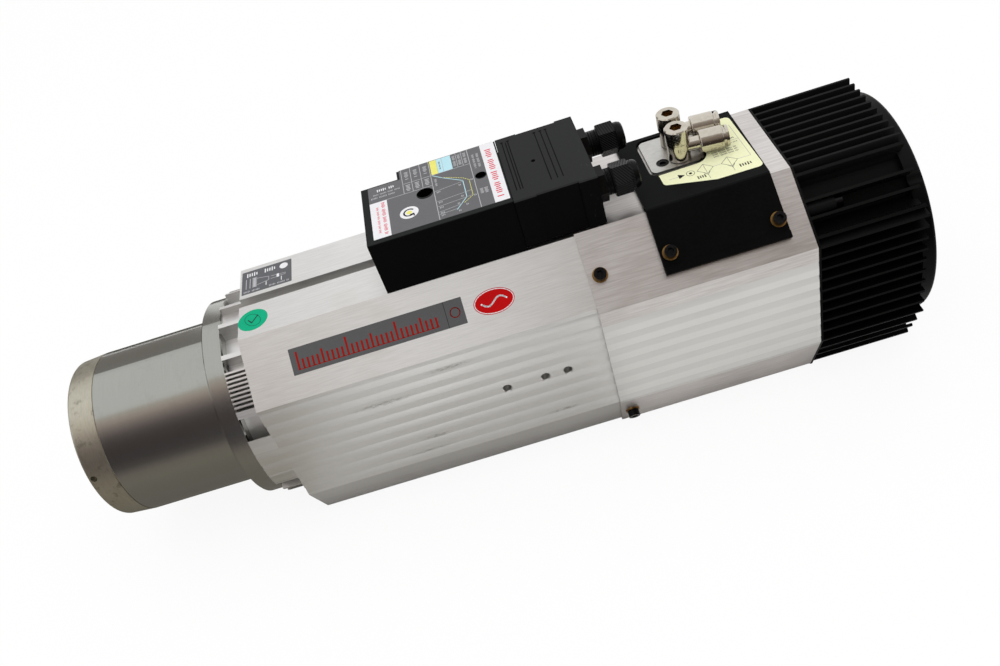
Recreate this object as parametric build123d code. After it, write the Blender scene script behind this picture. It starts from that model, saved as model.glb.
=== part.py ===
from build123d import *
import os
from math import atan2, degrees, sqrt

os.makedirs("parts", exist_ok=True)

# Motor spindle with a pneumatic tool changer.  Millimetres.  The axis is X: the tool side is at
# the origin and the fan at the far end.  +Z is up, the side that carries the connector.

# Aluminium section, seen along the axis
section_width = 133.0
section_height = 143.0
top_half = 32.7
shoulder_z = 44.2
waist_z = -36.0
foot_half = 49.2
foot_radius = 4.0
skin = 3.0
rib_pitch = 10.0
rib_band = 5.0
rib_depth = 0.9
rib_belly = 0.35
casing_ribs = 8
casing_rib_top = 41.2
stator_radius = 50.0
tube_wall = 6.5
web = 3.0
web_angles = (63.5, -16.0, -29.0, -52.0)
shoulder_web = 4.5
shoulder_web_angle = 32.8
side_bar = 8.0
slot_mouth = 7.6
slot_lip = 3.0
slot_cavity = 14.0
slot_depth = 6.5
slot_wall = 3.0
foot_slot_y = 27.0
comb_fins = 9
comb_pitch = 2.6
comb_fin = 1.2
comb_start = 15.0
comb_gap = 2.2
foot_comb_fins = 6
foot_comb_start = 9.0
relief_radius = 66.9
lug_radius = 6.0
lug_reach = 9.5
lug_y = 38.0
lug_z = -56.5
side_hole = 5.0
side_hole_depth = 8.5
side_hole_rim = 0.6
side_hole_z = 3.9
side_hole_first = 139.4
side_hole_steps = (23.6, 13.7)

# Where a form stands on its place or hangs from it
standing = (Align.CENTER, Align.CENTER, Align.MIN)
hanging = (Align.CENTER, Align.CENTER, Align.MAX)

# Screws: head and hexagon socket as shares of the thread size, and how far a clearance hole reaches
head_share = 0.8
head_height_share = 0.9
socket_floor_share = 0.4
socket_share = 0.46
hole_reach = 8.0
skirt_hole_reach = 12.0

# Lengths along the axis, from the gauge plane of the taper to the end of the fan cover
nose_stand = 3.0
cap_length = 17.8
housing_length = 75.7
flange_thickness = 12.4
outlet_length = 15.5
casing_tail = 46.2
fan_cover_length = 70.4

# Nose
housing_radius = 53.0
flange_radius = 64.0
cap_front_radius = 51.6
cap_edge = 2.5
joint_width = 0.5
joint_depth = 0.6
cap_bore = 30.6
winding_lip = 2.0
bearing_stop = 4.0
pin_hole = 4.0
pin_hole_set_back = 4.2
pin_hole_depth = 7.0
pin_hole_angle = 162.7
cap_screws = 6
cap_screw_circle = 43.0
nose_screw = 5.0
nose_screw_sink = 5.5
nose_screw_length = 18.0
flange_screws = 6
flange_screw_circle = 58.4
flange_screw_turn = 30.0
flange_screw = 5.0
flange_screw_sink = 5.0
flange_edge = 0.8

# Shaft, taper and keys
gauge_diameter = 31.75
taper_depth = 48.4
taper_slope = 7 / 48
taper_relief = 1.5
nose_radius = 30.0
nose_length = 23.0
key_width = 15.9
key_height = 8.0
key_depth = 5.0
key_length = 10.0
front_journal = 25.0
rear_journal = 20.0
shoulder_height = 4.0
shoulder_length = 6.0
rotor_journal = 22.0
pocket_radius = 11.3
pocket_end = 62.0
guide_bore = 10.2
spring_bore = 14.2
spring_seat_in = 60.0
shaft_reach = 17.8

# Bearings
front_bearing_outer = 40.0
front_bearing_width = 16.0
front_bearing_start = 26.0
bearing_spacer = 6.0
rear_bearing_outer = 34.0
rear_bearing_width = 15.0
rear_bearing_reach = 18.2
rear_spacer = 2.0
ring_section = 0.36
cage_clearance = 0.4
cage_start = 0.15
cage_end = 0.85
nut_width = 10.0
nut_notch = 2.5
rear_nut_section = 5.0
nut_section = 8.0

# Motor
rotor_set_back = 15.6
rotor_length = 140.0
air_gap = 0.4
rotor_radius = 29.6
end_ring = 10.0
winding_inner = 33.0
winding_outer = 47.0
winding_length = 17.0
winding_round = 5.0

# Tool clamp
drawbar_radius = 6.0
drawbar_reach = 23.8
clamp_stroke = 8.0
finger_count = 4
finger_arc = 70.0
finger_pivot = 86.0
finger_turn = 45.0
rod_head = 3.0
rod_tip_gap = 1.3
rod_head_gap = 0.7
finger_front = 62.0
claw_length = 4.0
claw_inner = 5.0
claw_outer = 9.0
finger_inner = 7.1
finger_outer = 8.5
foot_inner = 4.6
foot_width = 2.6
neck_radius = 4.2
foot_clearance = 0.45
guide_length = 12.0
spring_turns = 10
spring_outer = 13.8
spring_inner = 6.4
spring_thickness = 1.6
drawbar_nut = 13.6
drawbar_nut_width = 12.0

# Release cylinder
cylinder_drop = 16.5
cylinder_reach = 21.8
cylinder_length = 66.0
cylinder_front_wall = 8.0
cylinder_cover_thickness = 8.0
cylinder_wall = 13.0
drill_depth = 6.0
piston_thickness = 14.0
rod_radius = 12.0
rod_gap = 0.5
seal_width = 3.0
seal_depth = 2.5

# Rear shroud and its frames
sleeve_proud = 1.85
sleeve_widen = 2.35
sleeve_wall = 2.5
frame_clearance = 0.1
frame_length = 20.0
frame_rim = 8.0
frame_spoke = 8.0
frame_spokes = (0, 52, 90, 128)
hub_radius = 46.0
hub_gap = 6.0
plate_thickness = 6.0
hub_reach = 22.0
rear_frame_length = 12.0
shroud_ribs = 7
shroud_rib_top = 33.0
shroud_rib_depth = 0.4
screw_set_back = 7.2
screw_along = 26.0
foot_screw_along = 19.0
small_screw = 4.5
small_screw_length = 9.0
washer_thickness = 0.8

# Saddle plate, fittings and their base
saddle_start = 42.0
saddle_length = 72.0
saddle_to_fan = 12.0
saddle_thickness = 2.5
saddle_skirt = 37.6
saddle_lip = 4.0
saddle_lip_rise = 0.9
saddle_screw_in = 5.7
saddle_screw_out = 4.2
window_gap = 1.6
window_reach = 2.5
window_corner = 10.0
base_start = 55.3
base_length = 30.5
base_width = 33.6
base_y = 12.0
base_rise = 2.65
base_head_sink = 1.4
base_socket_floor = 0.3
base_corner = 3.5
base_screw = 4.5
base_screw_spots = ((8.1, -9.0), (25.5, -0.5))
fitting_x = 74.0
fitting_pitch = 16.2
fitting_y = 11.5
fitting_turn = -6.5
stem_radius = 6.9
stem_head = 9.1
stem_top = 23.65
stem_socket = 6.4
stem_socket_depth = 6.0
stem_shank = 4.5
stem_thread_depth = 12.0
stem_seal = 0.4
elbow_radius = 6.5
elbow_flange = 0.6
tube_stop = 3.0
stem_chamfer = 0.6
elbow_axis_rise = 9.85
elbow_neck = 4.2
barrel_radius = 6.9
barrel_start = 12.0
barrel_end = 25.8
barrel_round = 1.0
tube_bore = 3.1
air_bore = 2.0
collar_recess = 5.2
collar_depth = 7.0
collar_radius = 6.2
collar_flange = 1.6
collar_stroke = 1.2
port_block_length = 34.0

# Connector
box_start = 90.9
box_length = 83.6
box_height = 35.0
box_half = 32.3
notch_length = 22.6
notch_depth = 8.0
box_round = 1.5
connector_screw_x = (37.0, 70.5)
connector_screw_y = 2.4
connector_screw_bore = (9.6, 6.4)
hood_length = 47.3
hood_lift = 2.9
hood_neck_half = 33.0
hood_neck_length = 13.0
hood_grip_half = 32.4
hood_grip_length = 24.0
hood_collar_half = 33.4
hood_wall = 3.0
hood_hole = 2.6
hood_hole_reach = 20.0
hood_hole_x = 17.7
insert_length = 9.0
insert_half = 26.0
box_floor = 5.0
box_roof = 4.0
screw_seat = 8.0
connector_screw = 3.6
connector_screw_length = 7.0
gland_y = 20.5
gland_drop = 14.6
gland_hex = 18.0
gland_hex_length = 4.9
gland_thread = 7.6
gland_thread_length = 16.5
gland_nut_hex = 17.0
gland_nut_starts = (9.1, 11.4)
gland_nut_turns = (-16.0, 8.0)
gland_nut_length = 10.6
nut_corner = 0.5
nut_edge = 0.8
dome_shoulder = 0.7
dome_step = 0.6
dome_tip = 1.5
cable_gap = 0.8
gland_dome = 4.6
gland_dome_radius = 8.2
gland_seal_length = 10.0
cable_radius = 5.0

# Fan and its cover
cover_flange = 1.5
cover_radius = 66.0
cover_wall = 3.0
cover_ring_radius = 70.2
cover_ring_length = 7.1
cover_ring_round = 2.5
fin = 1.7
top_fins = 10
side_fins = 9
side_fin_top = 42.4
side_fin_foot = -31.6
chamfer_fins = (5.0, 20.3, 30.3, 41.5)
foot_fins = (9.0, 20.0, 31.0)
boss_along = 24.7
boss_depth = 5.5
boss_radius = 3.9
boss_length = 18.0
guard_thickness = 3.0
guard_rings = 5
guard_ring_width = 3.4
guard_gap = 5.6
guard_spokes = 4
guard_hub = 18.0
fan_clearance = 3.0
fan_hub = 20.0
fan_blades = 7
blade_thickness = 1.6
blade_chord = 22.0
blade_pitch = 38.0
hub_wall = 6.0
hub_opening = 5.0
blade_start = 10.0
spoke_width = 5.0
spoke_turn = 45.0
fan_motor_radius = 24.0
fan_motor_length = 26.0

# Fits
running = 0.05
bolted = 0.2
seat = 0.3

half_width = section_width / 2
half_height = section_height / 2
cap_x = nose_stand
housing_x = cap_x + cap_length
flange_x = housing_x + housing_length
tube_x = flange_x + flange_thickness
casing_x = tube_x + outlet_length
rotor_start = casing_x + rotor_set_back
rotor_end = rotor_start + rotor_length
shroud_x = rotor_end + casing_tail
shroud_length = saddle_start + saddle_length + saddle_to_fan
fan_x = shroud_x + shroud_length
end_x = fan_x + fan_cover_length
top_corner = Vector(0, top_half, half_height)
shoulder = Vector(0, half_width, shoulder_z)
waist = Vector(0, half_width, waist_z)
foot = Vector(0, foot_half, -half_height)
tube_radius = stator_radius + tube_wall
shroud_top = half_height + sleeve_proud
frame_grow = sleeve_proud - sleeve_wall - frame_clearance
spring_seat = rotor_start + spring_seat_in
shaft_end = shroud_x + shaft_reach
drawbar_end = shroud_x + drawbar_reach
front_bearing_end = front_bearing_start + 2 * front_bearing_width + bearing_spacer
rear_bearing_start = shroud_x - rear_bearing_reach
rear_bearing_end = rear_bearing_start + 2 * rear_bearing_width + rear_spacer
cylinder_radius = half_height - cylinder_drop
piston_radius = cylinder_radius - cylinder_wall
cylinder_start = shroud_x + cylinder_reach
cylinder_end = cylinder_start + cylinder_length
cylinder_cover_end = cylinder_end + cylinder_cover_thickness
piston_front = cylinder_end - rod_gap - piston_thickness
connector_x = casing_x + box_start
hood_x = connector_x + box_length
hood_end = hood_x + hood_length
box_top = half_height + box_height
far = section_height + section_width


# General shapes

def bar(start, end, radius, y=0.0, z=0.0):
    """Round bar along X."""
    length = end - start
    return Pos(start + length / 2, y, z) * Rot(0, 90, 0) * Cylinder(radius, length)


def tube(start, end, outer, inner):
    return bar(start, end, outer) - bar(start, end, inner)


def turned(*points):
    """Solid of revolution about X, from points (x, radius)."""
    return revolve(Plane.XZ * Polygon(*points, align=None), Axis.X)


def prism(face, start, end):
    """Section in (y, z), extruded along X."""
    return extrude(Plane.YZ.offset(start) * face, end - start, dir=(1, 0, 0))


def block(x, y, z):
    """Box between pairs of limits."""
    size = (x[1] - x[0], y[1] - y[0], z[1] - z[0])
    return Pos(x[0], y[0], z[0]) * Box(*size, align=(Align.MIN,) * 3)


def around(solid, count, first=0.0):
    """Copies of a solid, evenly spaced about the spindle axis."""
    return [Rot(first + turn * 360 / count, 0, 0) * solid for turn in range(count)]


def flank(start, end, side, x, along, lift=0.0):
    """Plane on a sloping flank of the section: its Z points outward."""
    run = (end - start).normalized()
    normal = Vector(0, -run.Z, run.Y)
    spot = start + run * along + normal * lift
    return Plane(origin=(x, side * spot.Y, spot.Z), x_dir=(1, 0, 0), z_dir=(0, side * normal.Y, normal.Z))


def outline(grow=0.0, widen=0.0):
    """Octagon of the section; a grown outline keeps the flat foot where it is."""
    upper = (shoulder - top_corner) * (widen / (shoulder.Y - top_corner.Y))
    lower = (waist - foot) * (widen / (waist.Y - foot.Y))
    right = [(p.Y, p.Z) for p in (top_corner, shoulder + upper, waist + lower, foot)]
    left = [(-y, z) for y, z in reversed(right)]
    face = Polygon(*right, *left, align=None)
    if grow > 0:
        face = offset(face, grow, kind=Kind.INTERSECTION)
        face &= Pos(0, far / 2 - half_height) * Rectangle(far, far)
    if grow < 0:
        face = offset(face, grow, kind=Kind.INTERSECTION)
    return face


def rounded_outline(grow=0.0, widen=0.0):
    face = outline(grow, widen)
    corners = face.vertices().sort_by(Axis.Y)[:2]
    return fillet(corners, foot_radius)


def rib_grooves(half, depth, top, count):
    """Hollows on both sides of the section: a sharp step above that runs out below."""
    step = (-depth, 0)
    fade = (0, -rib_band)
    wall = Polyline(step, (depth, 0), (depth, -rib_band), fade)
    hollow = make_face(wall + ThreePointArc(fade, (-rib_belly * depth, -rib_band / 2), step))
    hollows = Sketch() + [Pos(half, top - rib * rib_pitch) * hollow for rib in range(count)]
    return hollows + mirror(hollows, about=Plane.YZ)


def cap_screw(size, length):
    """Socket head cap screw along Z, its head resting on the plane Z = 0."""
    head = Cylinder(head_share * size, head_height_share * size, align=standing)
    hexagon = Pos(0, 0, socket_floor_share * size) * extrude(RegularPolygon(socket_share * size, 6), size)
    shank = Cylinder(size / 2, length, align=hanging)
    return head - hexagon + shank


def washer(size, thickness):
    ring = Cylinder(size, thickness, align=hanging)
    return ring - Cylinder(size / 2 + bolted / 2, 3 * thickness)


def save(name, *solids):
    flat = []
    for item in solids:
        flat += list(item.solids()) if hasattr(item, "solids") else [s for one in item for s in one.solids()]
    shape = flat[0] if len(flat) == 1 else Compound(children=flat)
    export_step(shape, f"parts/{name}.step")


# Nose: cap, bearing housing and their screws

def pin_holes():
    hole = Rot(-90, 0, 0) * Cylinder(pin_hole / 2, 2 * pin_hole_depth)
    hole = Pos(cap_x + pin_hole_set_back, housing_radius, 0) * hole
    return [Rot(pin_hole_angle + turn, 0, 0) * hole for turn in (0, 180)]


def ring_of_screws(x, circle, count, size, length, first):
    screw = Pos(x, 0, circle) * Rot(0, -90, 0) * cap_screw(size, length)
    return around(screw, count, first)


def ring_of_holes(start, end, circle, count, radius, first):
    return around(bar(start, end, radius, z=circle), count, first)


def nose_cap():
    body = turned((cap_x, cap_bore), (cap_x, cap_front_radius), (housing_x - joint_width, housing_radius),
                  (housing_x - joint_width, housing_radius - joint_depth),
                  (housing_x, housing_radius - joint_depth), (housing_x, front_bearing_outer - bolted),
                  (front_bearing_start, front_bearing_outer - bolted), (front_bearing_start, cap_bore))
    rim = body.edges().filter_by(GeomType.CIRCLE).group_by(Axis.X)[0].sort_by(SortBy.RADIUS)[-1]
    body = fillet(rim, cap_edge) - pin_holes()
    body -= ring_of_holes(cap_x, housing_x, cap_screw_circle, cap_screws, (nose_screw + bolted) / 2, 0)
    return body - ring_of_holes(cap_x, cap_x + nose_screw_sink, cap_screw_circle, cap_screws, nose_screw, 0)


def front_housing():
    """Steel housing: Ø106 barrel, bolted flange and a spigot in the casing's tube."""
    spigot = stator_radius - running
    body = turned((housing_x, front_bearing_outer), (housing_x, housing_radius), (flange_x, housing_radius),
                  (flange_x, flange_radius - flange_edge), (flange_x + flange_edge, flange_radius),
                  (tube_x - flange_edge, flange_radius), (tube_x, flange_radius - flange_edge),
                  (tube_x, spigot),
                  (tube_x + guide_length, spigot), (tube_x + guide_length, winding_outer),
                  (tube_x, front_bearing_outer - winding_lip),
                  (front_bearing_end + nut_width, front_bearing_outer - bearing_stop),
                  (front_bearing_end, front_bearing_outer - bearing_stop),
                  (front_bearing_end, front_bearing_outer))
    body -= ring_of_holes(housing_x, housing_x + nose_screw_length, cap_screw_circle, cap_screws,
                          nose_screw / 2, 0)
    body -= ring_of_holes(flange_x, tube_x, flange_screw_circle, flange_screws, (flange_screw + bolted) / 2,
                          flange_screw_turn)
    return body - ring_of_holes(flange_x, flange_x + flange_screw_sink, flange_screw_circle, flange_screws,
                                flange_screw, flange_screw_turn)


# Casing extrusion

def spoke(angle, thickness):
    reach = far / 2
    return Rot(0, 0, angle) * Pos(reach / 2, 0) * Rectangle(reach, thickness)


def spoke_pair(angle, thickness):
    return [spoke(angle, thickness), spoke(180 - angle, thickness)]


def comb(start, end, first, count):
    """Parallel cooling fins at right angles to a sloping flank."""
    run = (end - start).normalized()
    angle = degrees(atan2(run.Y, -run.Z))
    reach = start.Y * -run.Z + start.Z * run.Y - skin - comb_gap
    fins = []
    for number in range(count):
        place = start + run * (first + number * comb_pitch)
        shift = place.Y * run.Y + place.Z * run.Z
        fins.append(Rot(0, 0, angle) * Pos(reach / 2, -shift) * Rectangle(reach, comb_fin))
        fins.append(Rot(0, 0, 180 - angle) * Pos(reach / 2, shift) * Rectangle(reach, comb_fin))
    return fins


def slot_block(y, up):
    """Walls of a T-slot, from the outer face down to the tube."""
    width = slot_cavity + 2 * slot_wall
    height = half_height - stator_radius
    if abs(y) > width:
        height += tube_wall
    return Pos(y, up * (half_height - height / 2)) * Rectangle(width, height)


def slot_space(y, up):
    mouth = Pos(y, up * half_height) * Rectangle(slot_mouth, 2 * (slot_lip + 0.1))
    depth = slot_lip + slot_depth / 2
    return [mouth, Pos(y, up * (half_height - depth)) * Rectangle(slot_cavity, slot_depth)]


def casing_section():
    body = rounded_outline() - offset(outline(), -skin, kind=Kind.INTERSECTION)
    ribs = [Circle(tube_radius)]
    ribs.append(Pos(0, side_hole_z) * Rectangle(section_width, side_bar))
    ribs += spoke_pair(shoulder_web_angle, shoulder_web)
    for angle in web_angles:
        ribs += spoke_pair(angle, web)
    ribs += comb(top_corner, shoulder, comb_start, comb_fins)
    ribs += comb(waist, foot, foot_comb_start, foot_comb_fins)
    slots = [(0, 1), (foot_slot_y, -1), (-foot_slot_y, -1)]
    ribs += [slot_block(*slot) for slot in slots]
    inside = (Sketch() + ribs) & offset(outline(), -skin / 2, kind=Kind.INTERSECTION)
    body += inside
    body -= Circle(stator_radius)
    for slot in slots:
        body -= slot_space(*slot)
    return body - rib_grooves(half_width, rib_depth, casing_rib_top, casing_ribs)


def side_holes():
    """Countersunk tapped holes in the near ribbed side."""
    x = casing_x + side_hole_first
    places = [x, x + side_hole_steps[0], x + sum(side_hole_steps)]
    drill = Cylinder(side_hole / 2, 2 * side_hole_depth)
    drill += Cone(side_hole / 2, side_hole / 2 + 2 * side_hole_rim, 2 * side_hole_rim)
    drill = Rot(90, 0, 0) * drill
    return [Pos(place, -half_width, side_hole_z) * drill for place in places]


def motor_casing():
    """Extrusion with its front turned back so that cooling air can leave between its webs."""
    body = prism(casing_section(), tube_x, shroud_x)
    body -= tube(tube_x, casing_x, far, relief_radius)
    lugs = [bar(casing_x - lug_reach, casing_x + lug_reach, lug_radius, side * lug_y, lug_z)
            for side in (-1, 1)]
    body += lugs
    return body - side_holes()


# Motor

def stator_core():
    return tube(rotor_start, rotor_end, stator_radius, rotor_radius + air_gap)


def stator_windings():
    def crown(start):
        ring = tube(start, start + winding_length, winding_outer, winding_inner)
        return fillet(ring.edges(), winding_round)
    return crown(rotor_start - winding_length), crown(rotor_end)


def rotor_core():
    return tube(rotor_start, rotor_end, rotor_radius, rotor_journal)


def rotor_end_rings():
    rear = tube(rotor_end, rotor_end + end_ring, rotor_radius - 1, rotor_journal)
    return tube(rotor_start - end_ring, rotor_start, rotor_radius - 1, rotor_journal), rear


# Spindle shaft

def drive_keys():
    key = block((-key_height, key_length - key_height), (-key_width / 2, key_width / 2),
                (gauge_diameter / 2 + key_depth, nose_radius - 1))
    key = Pos(key_depth, 0, 0) * key
    return around(fillet(key.edges().filter_by(Axis.Z), 1.0), 2)


def key_seats():
    seat_block = block((-1, key_depth + key_length - key_height), (-key_width / 2, key_width / 2),
                       (gauge_diameter / 2 + key_depth, nose_radius + 1))
    return around(seat_block, 2)


def spindle_shaft():
    """Stepped shaft with the 7/24 tool taper and the bore of the tool clamp."""
    gauge = gauge_diameter / 2
    small = gauge - taper_depth * taper_slope
    rear_shoulder = rear_bearing_start - shoulder_length
    nut_end = front_bearing_end + nut_width
    body = turned((0, gauge), (0, nose_radius - 1), (1, nose_radius), (nose_length, nose_radius),
                  (nose_length, front_journal + shoulder_height),
                  (front_bearing_start, front_journal + shoulder_height),
                  (front_bearing_start, front_journal), (nut_end, front_journal),
                  (nut_end, rotor_journal), (rear_shoulder, rotor_journal),
                  (rear_shoulder, rear_journal + shoulder_height),
                  (rear_bearing_start, rear_journal + shoulder_height),
                  (rear_bearing_start, rear_journal), (shaft_end, rear_journal), (shaft_end, spring_bore),
                  (spring_seat, spring_bore), (spring_seat, guide_bore), (pocket_end, guide_bore),
                  (pocket_end - 1, pocket_radius), (taper_depth + taper_relief, pocket_radius),
                  (taper_depth + taper_relief, small), (taper_depth, small))
    return body - key_seats()


def bearing_rings(starts, width, bore, outer):
    """Inner rings, outer rings and ball cages of a bearing pair."""
    section = (outer - bore) * ring_section
    inner = [tube(x, x + width, bore + section, bore) for x in starts]
    outside = [tube(x, x + width, outer, outer - section) for x in starts]
    low = bore + section + cage_clearance
    high = outer - section - cage_clearance
    cages = [tube(x + width * cage_start, x + width * cage_end, high, low) for x in starts]
    return inner, outside, cages


def spacer(start, length, bore, outer):
    return tube(start, start + length, outer, bore)


def lock_nut(start, width, bore, outer):
    """Slotted round nut."""
    nut = tube(start, start + width, outer, bore)
    notch = block((start - 1, start + width + 1), (-nut_notch, nut_notch), (outer - 2, outer + 1))
    return nut - around(notch, 4)


# Tool clamp

def drawbar():
    """Pull rod: a grooved head that carries the fingers, a guide and the spring nut."""
    head = finger_pivot - foot_width / 2 - foot_clearance
    tail = finger_pivot + foot_width / 2 + foot_clearance
    rod = turned((head - rod_head, 0), (head - rod_head, finger_inner - rod_tip_gap),
                 (head, finger_inner - rod_head_gap), (head, neck_radius),
                 (tail, neck_radius), (tail, drawbar_radius + 2), (tail + 2, guide_bore - running),
                 (tail + 2 + guide_length, guide_bore - running), (tail + 4 + guide_length, drawbar_radius),
                 (drawbar_end, drawbar_radius), (drawbar_end, 0))
    nut_end = drawbar_end - clamp_stroke - 4
    return rod + tube(nut_end - drawbar_nut_width, nut_end, drawbar_nut, drawbar_radius - 1)


def disc_springs():
    """Stack of disc springs in series, from the shaft's seat to the drawbar's nut."""
    start = spring_seat + seat
    end = drawbar_end - clamp_stroke - 4 - drawbar_nut_width - seat
    pitch = (end - start - spring_thickness) / spring_turns
    discs = []
    for turn in range(spring_turns):
        inner = (start + turn * pitch, spring_inner)
        outer = (start + (turn + 1) * pitch, spring_outer)
        if turn % 2:
            inner = (start + (turn + 1) * pitch, spring_inner)
            outer = (start + turn * pitch, spring_outer)
        discs.append(turned(inner, outer, (outer[0] + spring_thickness, outer[1]),
                            (inner[0] + spring_thickness, inner[1])))
    stack = discs[0]
    for disc in discs[1:]:
        stack += disc
    return stack


def gripper_fingers():
    """Segments that close round the pull stud of the tool holder."""
    rear = finger_pivot + foot_width / 2
    front = finger_front
    profile = Polygon((front, claw_inner), (front, claw_outer - 1), (front + 1, claw_outer),
                      (front + claw_length, claw_outer), (front + claw_length + 1, finger_outer),
                      (rear, finger_outer), (rear, foot_inner), (rear - foot_width, foot_inner),
                      (rear - foot_width, finger_inner), (front + claw_length + 2, finger_inner),
                      (front + claw_length, claw_inner), align=None)
    finger = Rot(-finger_arc / 2, 0, 0) * revolve(Plane.XZ * profile, Axis.X, finger_arc)
    return around(finger, finger_count, finger_turn)


# Release cylinder

def release_cylinder():
    wall = cylinder_start + cylinder_front_wall
    body = tube(cylinder_start, cylinder_end, cylinder_radius, rod_radius + running)
    body -= bar(wall, cylinder_end, piston_radius + running)
    return body - fitting_bores(air_bore)


def cylinder_cover():
    boss = bar(cylinder_end, cylinder_cover_end, cylinder_radius)
    return chamfer(boss.edges().group_by(Axis.X)[-1], 2)


def release_piston():
    body = bar(piston_front, piston_front + piston_thickness, piston_radius)
    body += bar(drawbar_end + rod_gap, piston_front, rod_radius)
    groove = piston_front + (piston_thickness - seal_width) / 2
    return body - tube(groove, groove + seal_width, far, piston_radius - seal_depth)


def piston_seal():
    groove = piston_front + (piston_thickness - seal_width) / 2
    return tube(groove, groove + seal_width, piston_radius, piston_radius - seal_depth)


# Frames inside the rear shroud

def frame_plate(start, end, hub):
    """Octagonal plate with air windows between its rim and its hub."""
    openings = outline(frame_grow - frame_rim, sleeve_widen) - Circle(hub + frame_rim)
    openings -= [Rot(0, 0, angle) * Rectangle(far, frame_spoke) for angle in frame_spokes]
    return prism(sleeve_bore(frame_clearance) - openings, start, end)


def rear_bearing_housing():
    nose = shroud_x - hub_reach
    rear = shroud_x + frame_length
    body = frame_plate(shroud_x, rear, hub_radius)
    body += bar(nose, rear, stator_radius - running)
    body -= bar(nose, rear, rear_journal + hub_gap)
    body -= tube(nose, shroud_x - plate_thickness, stator_radius + 1, hub_radius)
    body -= bar(nose, rear_bearing_end, rear_bearing_outer)
    return body - flank_screw_bores(shroud_x)


def flank_screw_bores(x):
    drill = Cylinder(small_screw / 2, 4 * frame_rim)
    return [plane.location * drill for plane in shroud_screw_planes()]


def shroud_screw_planes():
    """Outer face of the shroud where its screws sit."""
    x = shroud_x + screw_set_back
    planes = []
    for side in (-1, 1):
        planes.append(flank(top_corner, shoulder, side, x, screw_along, sleeve_proud))
        planes.append(flank(waist, foot, side, x, foot_screw_along, sleeve_proud))
    return planes


def saddle_screw_planes(lift):
    start = shroud_x + saddle_start
    places = (start + saddle_screw_in, start + saddle_length - saddle_screw_out)
    return [flank(top_corner, shoulder, side, x, screw_along, lift) for side in (-1, 1) for x in places]


def fan_frame():
    body = frame_plate(fan_x - rear_frame_length, fan_x, fan_motor_radius)
    body -= [bar(fan_x - rear_frame_length, fan_x, small_screw / 2, *spot) for spot in boss_spots()]
    return body


def sleeve_bore(gap):
    """Inside of the shroud, less a gap all round; its foot wall is inside the flat foot."""
    face = outline(sleeve_proud - sleeve_wall - gap, sleeve_widen)
    return face & Pos(0, far / 2 - half_height + sleeve_wall + gap) * Rectangle(far, far)


def rear_shroud():
    """Ribbed sleeve over the release cylinder."""
    face = rounded_outline(sleeve_proud, sleeve_widen)
    side = half_width + sleeve_widen + sleeve_proud
    face -= rib_grooves(side, shroud_rib_depth, shroud_rib_top, shroud_ribs)
    body = prism(face - sleeve_bore(0), shroud_x, fan_x)
    drill = Cylinder(screw_hole(), hole_reach)
    body -= [plane.location * drill for plane in shroud_screw_planes()]
    body -= [plane.location * drill for plane in saddle_screw_planes(sleeve_proud)]
    return body - fitting_bores(stem_shank + bolted)


def screw_hole():
    return (small_screw + bolted) / 2


def shroud_screws():
    raise_head = Pos(0, 0, washer_thickness) * cap_screw(small_screw, small_screw_length)
    ring = Pos(0, 0, washer_thickness) * washer(small_screw, washer_thickness)
    planes = shroud_screw_planes()
    return [p.location * raise_head for p in planes], [p.location * ring for p in planes]


def saddle_screws():
    raise_head = Pos(0, 0, washer_thickness) * cap_screw(small_screw, small_screw_length)
    ring = Pos(0, 0, washer_thickness) * washer(small_screw, washer_thickness)
    planes = saddle_screw_planes(sleeve_proud + saddle_thickness)
    return [p.location * raise_head for p in planes], [p.location * ring for p in planes]


# Saddle plate and air fittings

def fitting_spots():
    x = shroud_x + fitting_x
    return [(x, fitting_y + side * fitting_pitch / 2) for side in (-1, 1)]


def fitting_bores(radius):
    drill = Cylinder(radius, shroud_top + base_rise, align=standing)
    return [Pos(x, y, 0) * Pos(0, 0, piston_radius - drill_depth) * drill for x, y in fitting_spots()]


def saddle_face(inner, outer, skirt):
    """Strip between two offsets of the section, down to a given length of flank."""
    strip = outline(outer) - outline(inner)
    keep = flank(top_corner, shoulder, 1, 0, skirt)
    limit = keep.origin.Z
    for side in (-1, 1):
        run = (shoulder - top_corner).normalized()
        angle = side * degrees(atan2(run.Z, run.Y))
        place = Pos(side * keep.origin.Y, limit) * Rot(0, 0, angle)
        cut = place * Pos(side * far / 2, 0) * Rectangle(far, far)
        strip -= cut
    return strip & Pos(0, far / 2) * Rectangle(far, far)


def saddle_window():
    """Opening round the base plate, with one large corner beside the fittings."""
    start = shroud_x + base_start - window_gap
    end = shroud_x + base_start + base_length + window_reach
    low = base_y - base_width / 2 - window_reach
    high = base_y + base_width / 2 + window_reach
    face = Pos((start + end) / 2, (low + high) / 2) * Rectangle(end - start, high - low)
    large = face.vertices().sort_by(Axis.Y)[:2].sort_by(Axis.X)[-1]
    face = fillet(large, window_corner)
    return fillet(face.vertices().group_by(Axis.X)[0], base_corner + window_gap)


def saddle_plate():
    start = shroud_x + saddle_start
    end = start + saddle_length
    top = sleeve_proud + saddle_thickness
    body = prism(saddle_face(sleeve_proud, top, saddle_skirt), start, end)
    lip = saddle_face(top - 0.5, top + saddle_lip_rise, saddle_skirt)
    lip -= saddle_face(sleeve_proud, top + 2 * saddle_lip_rise, saddle_skirt - saddle_lip)
    body += prism(lip, start, end)
    body -= extrude(Pos(0, 0, half_height) * saddle_window(), far)
    drill = Cylinder(screw_hole(), skirt_hole_reach)
    return body - [plane.location * drill for plane in saddle_screw_planes(top)]


def base_footprint():
    x = shroud_x + base_start + base_length / 2
    return Pos(x, base_y) * RectangleRounded(base_length, base_width, base_corner)


def base_screw_places():
    x = shroud_x + base_start
    return [(x + along, base_y + across) for along, across in base_screw_spots]


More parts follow.
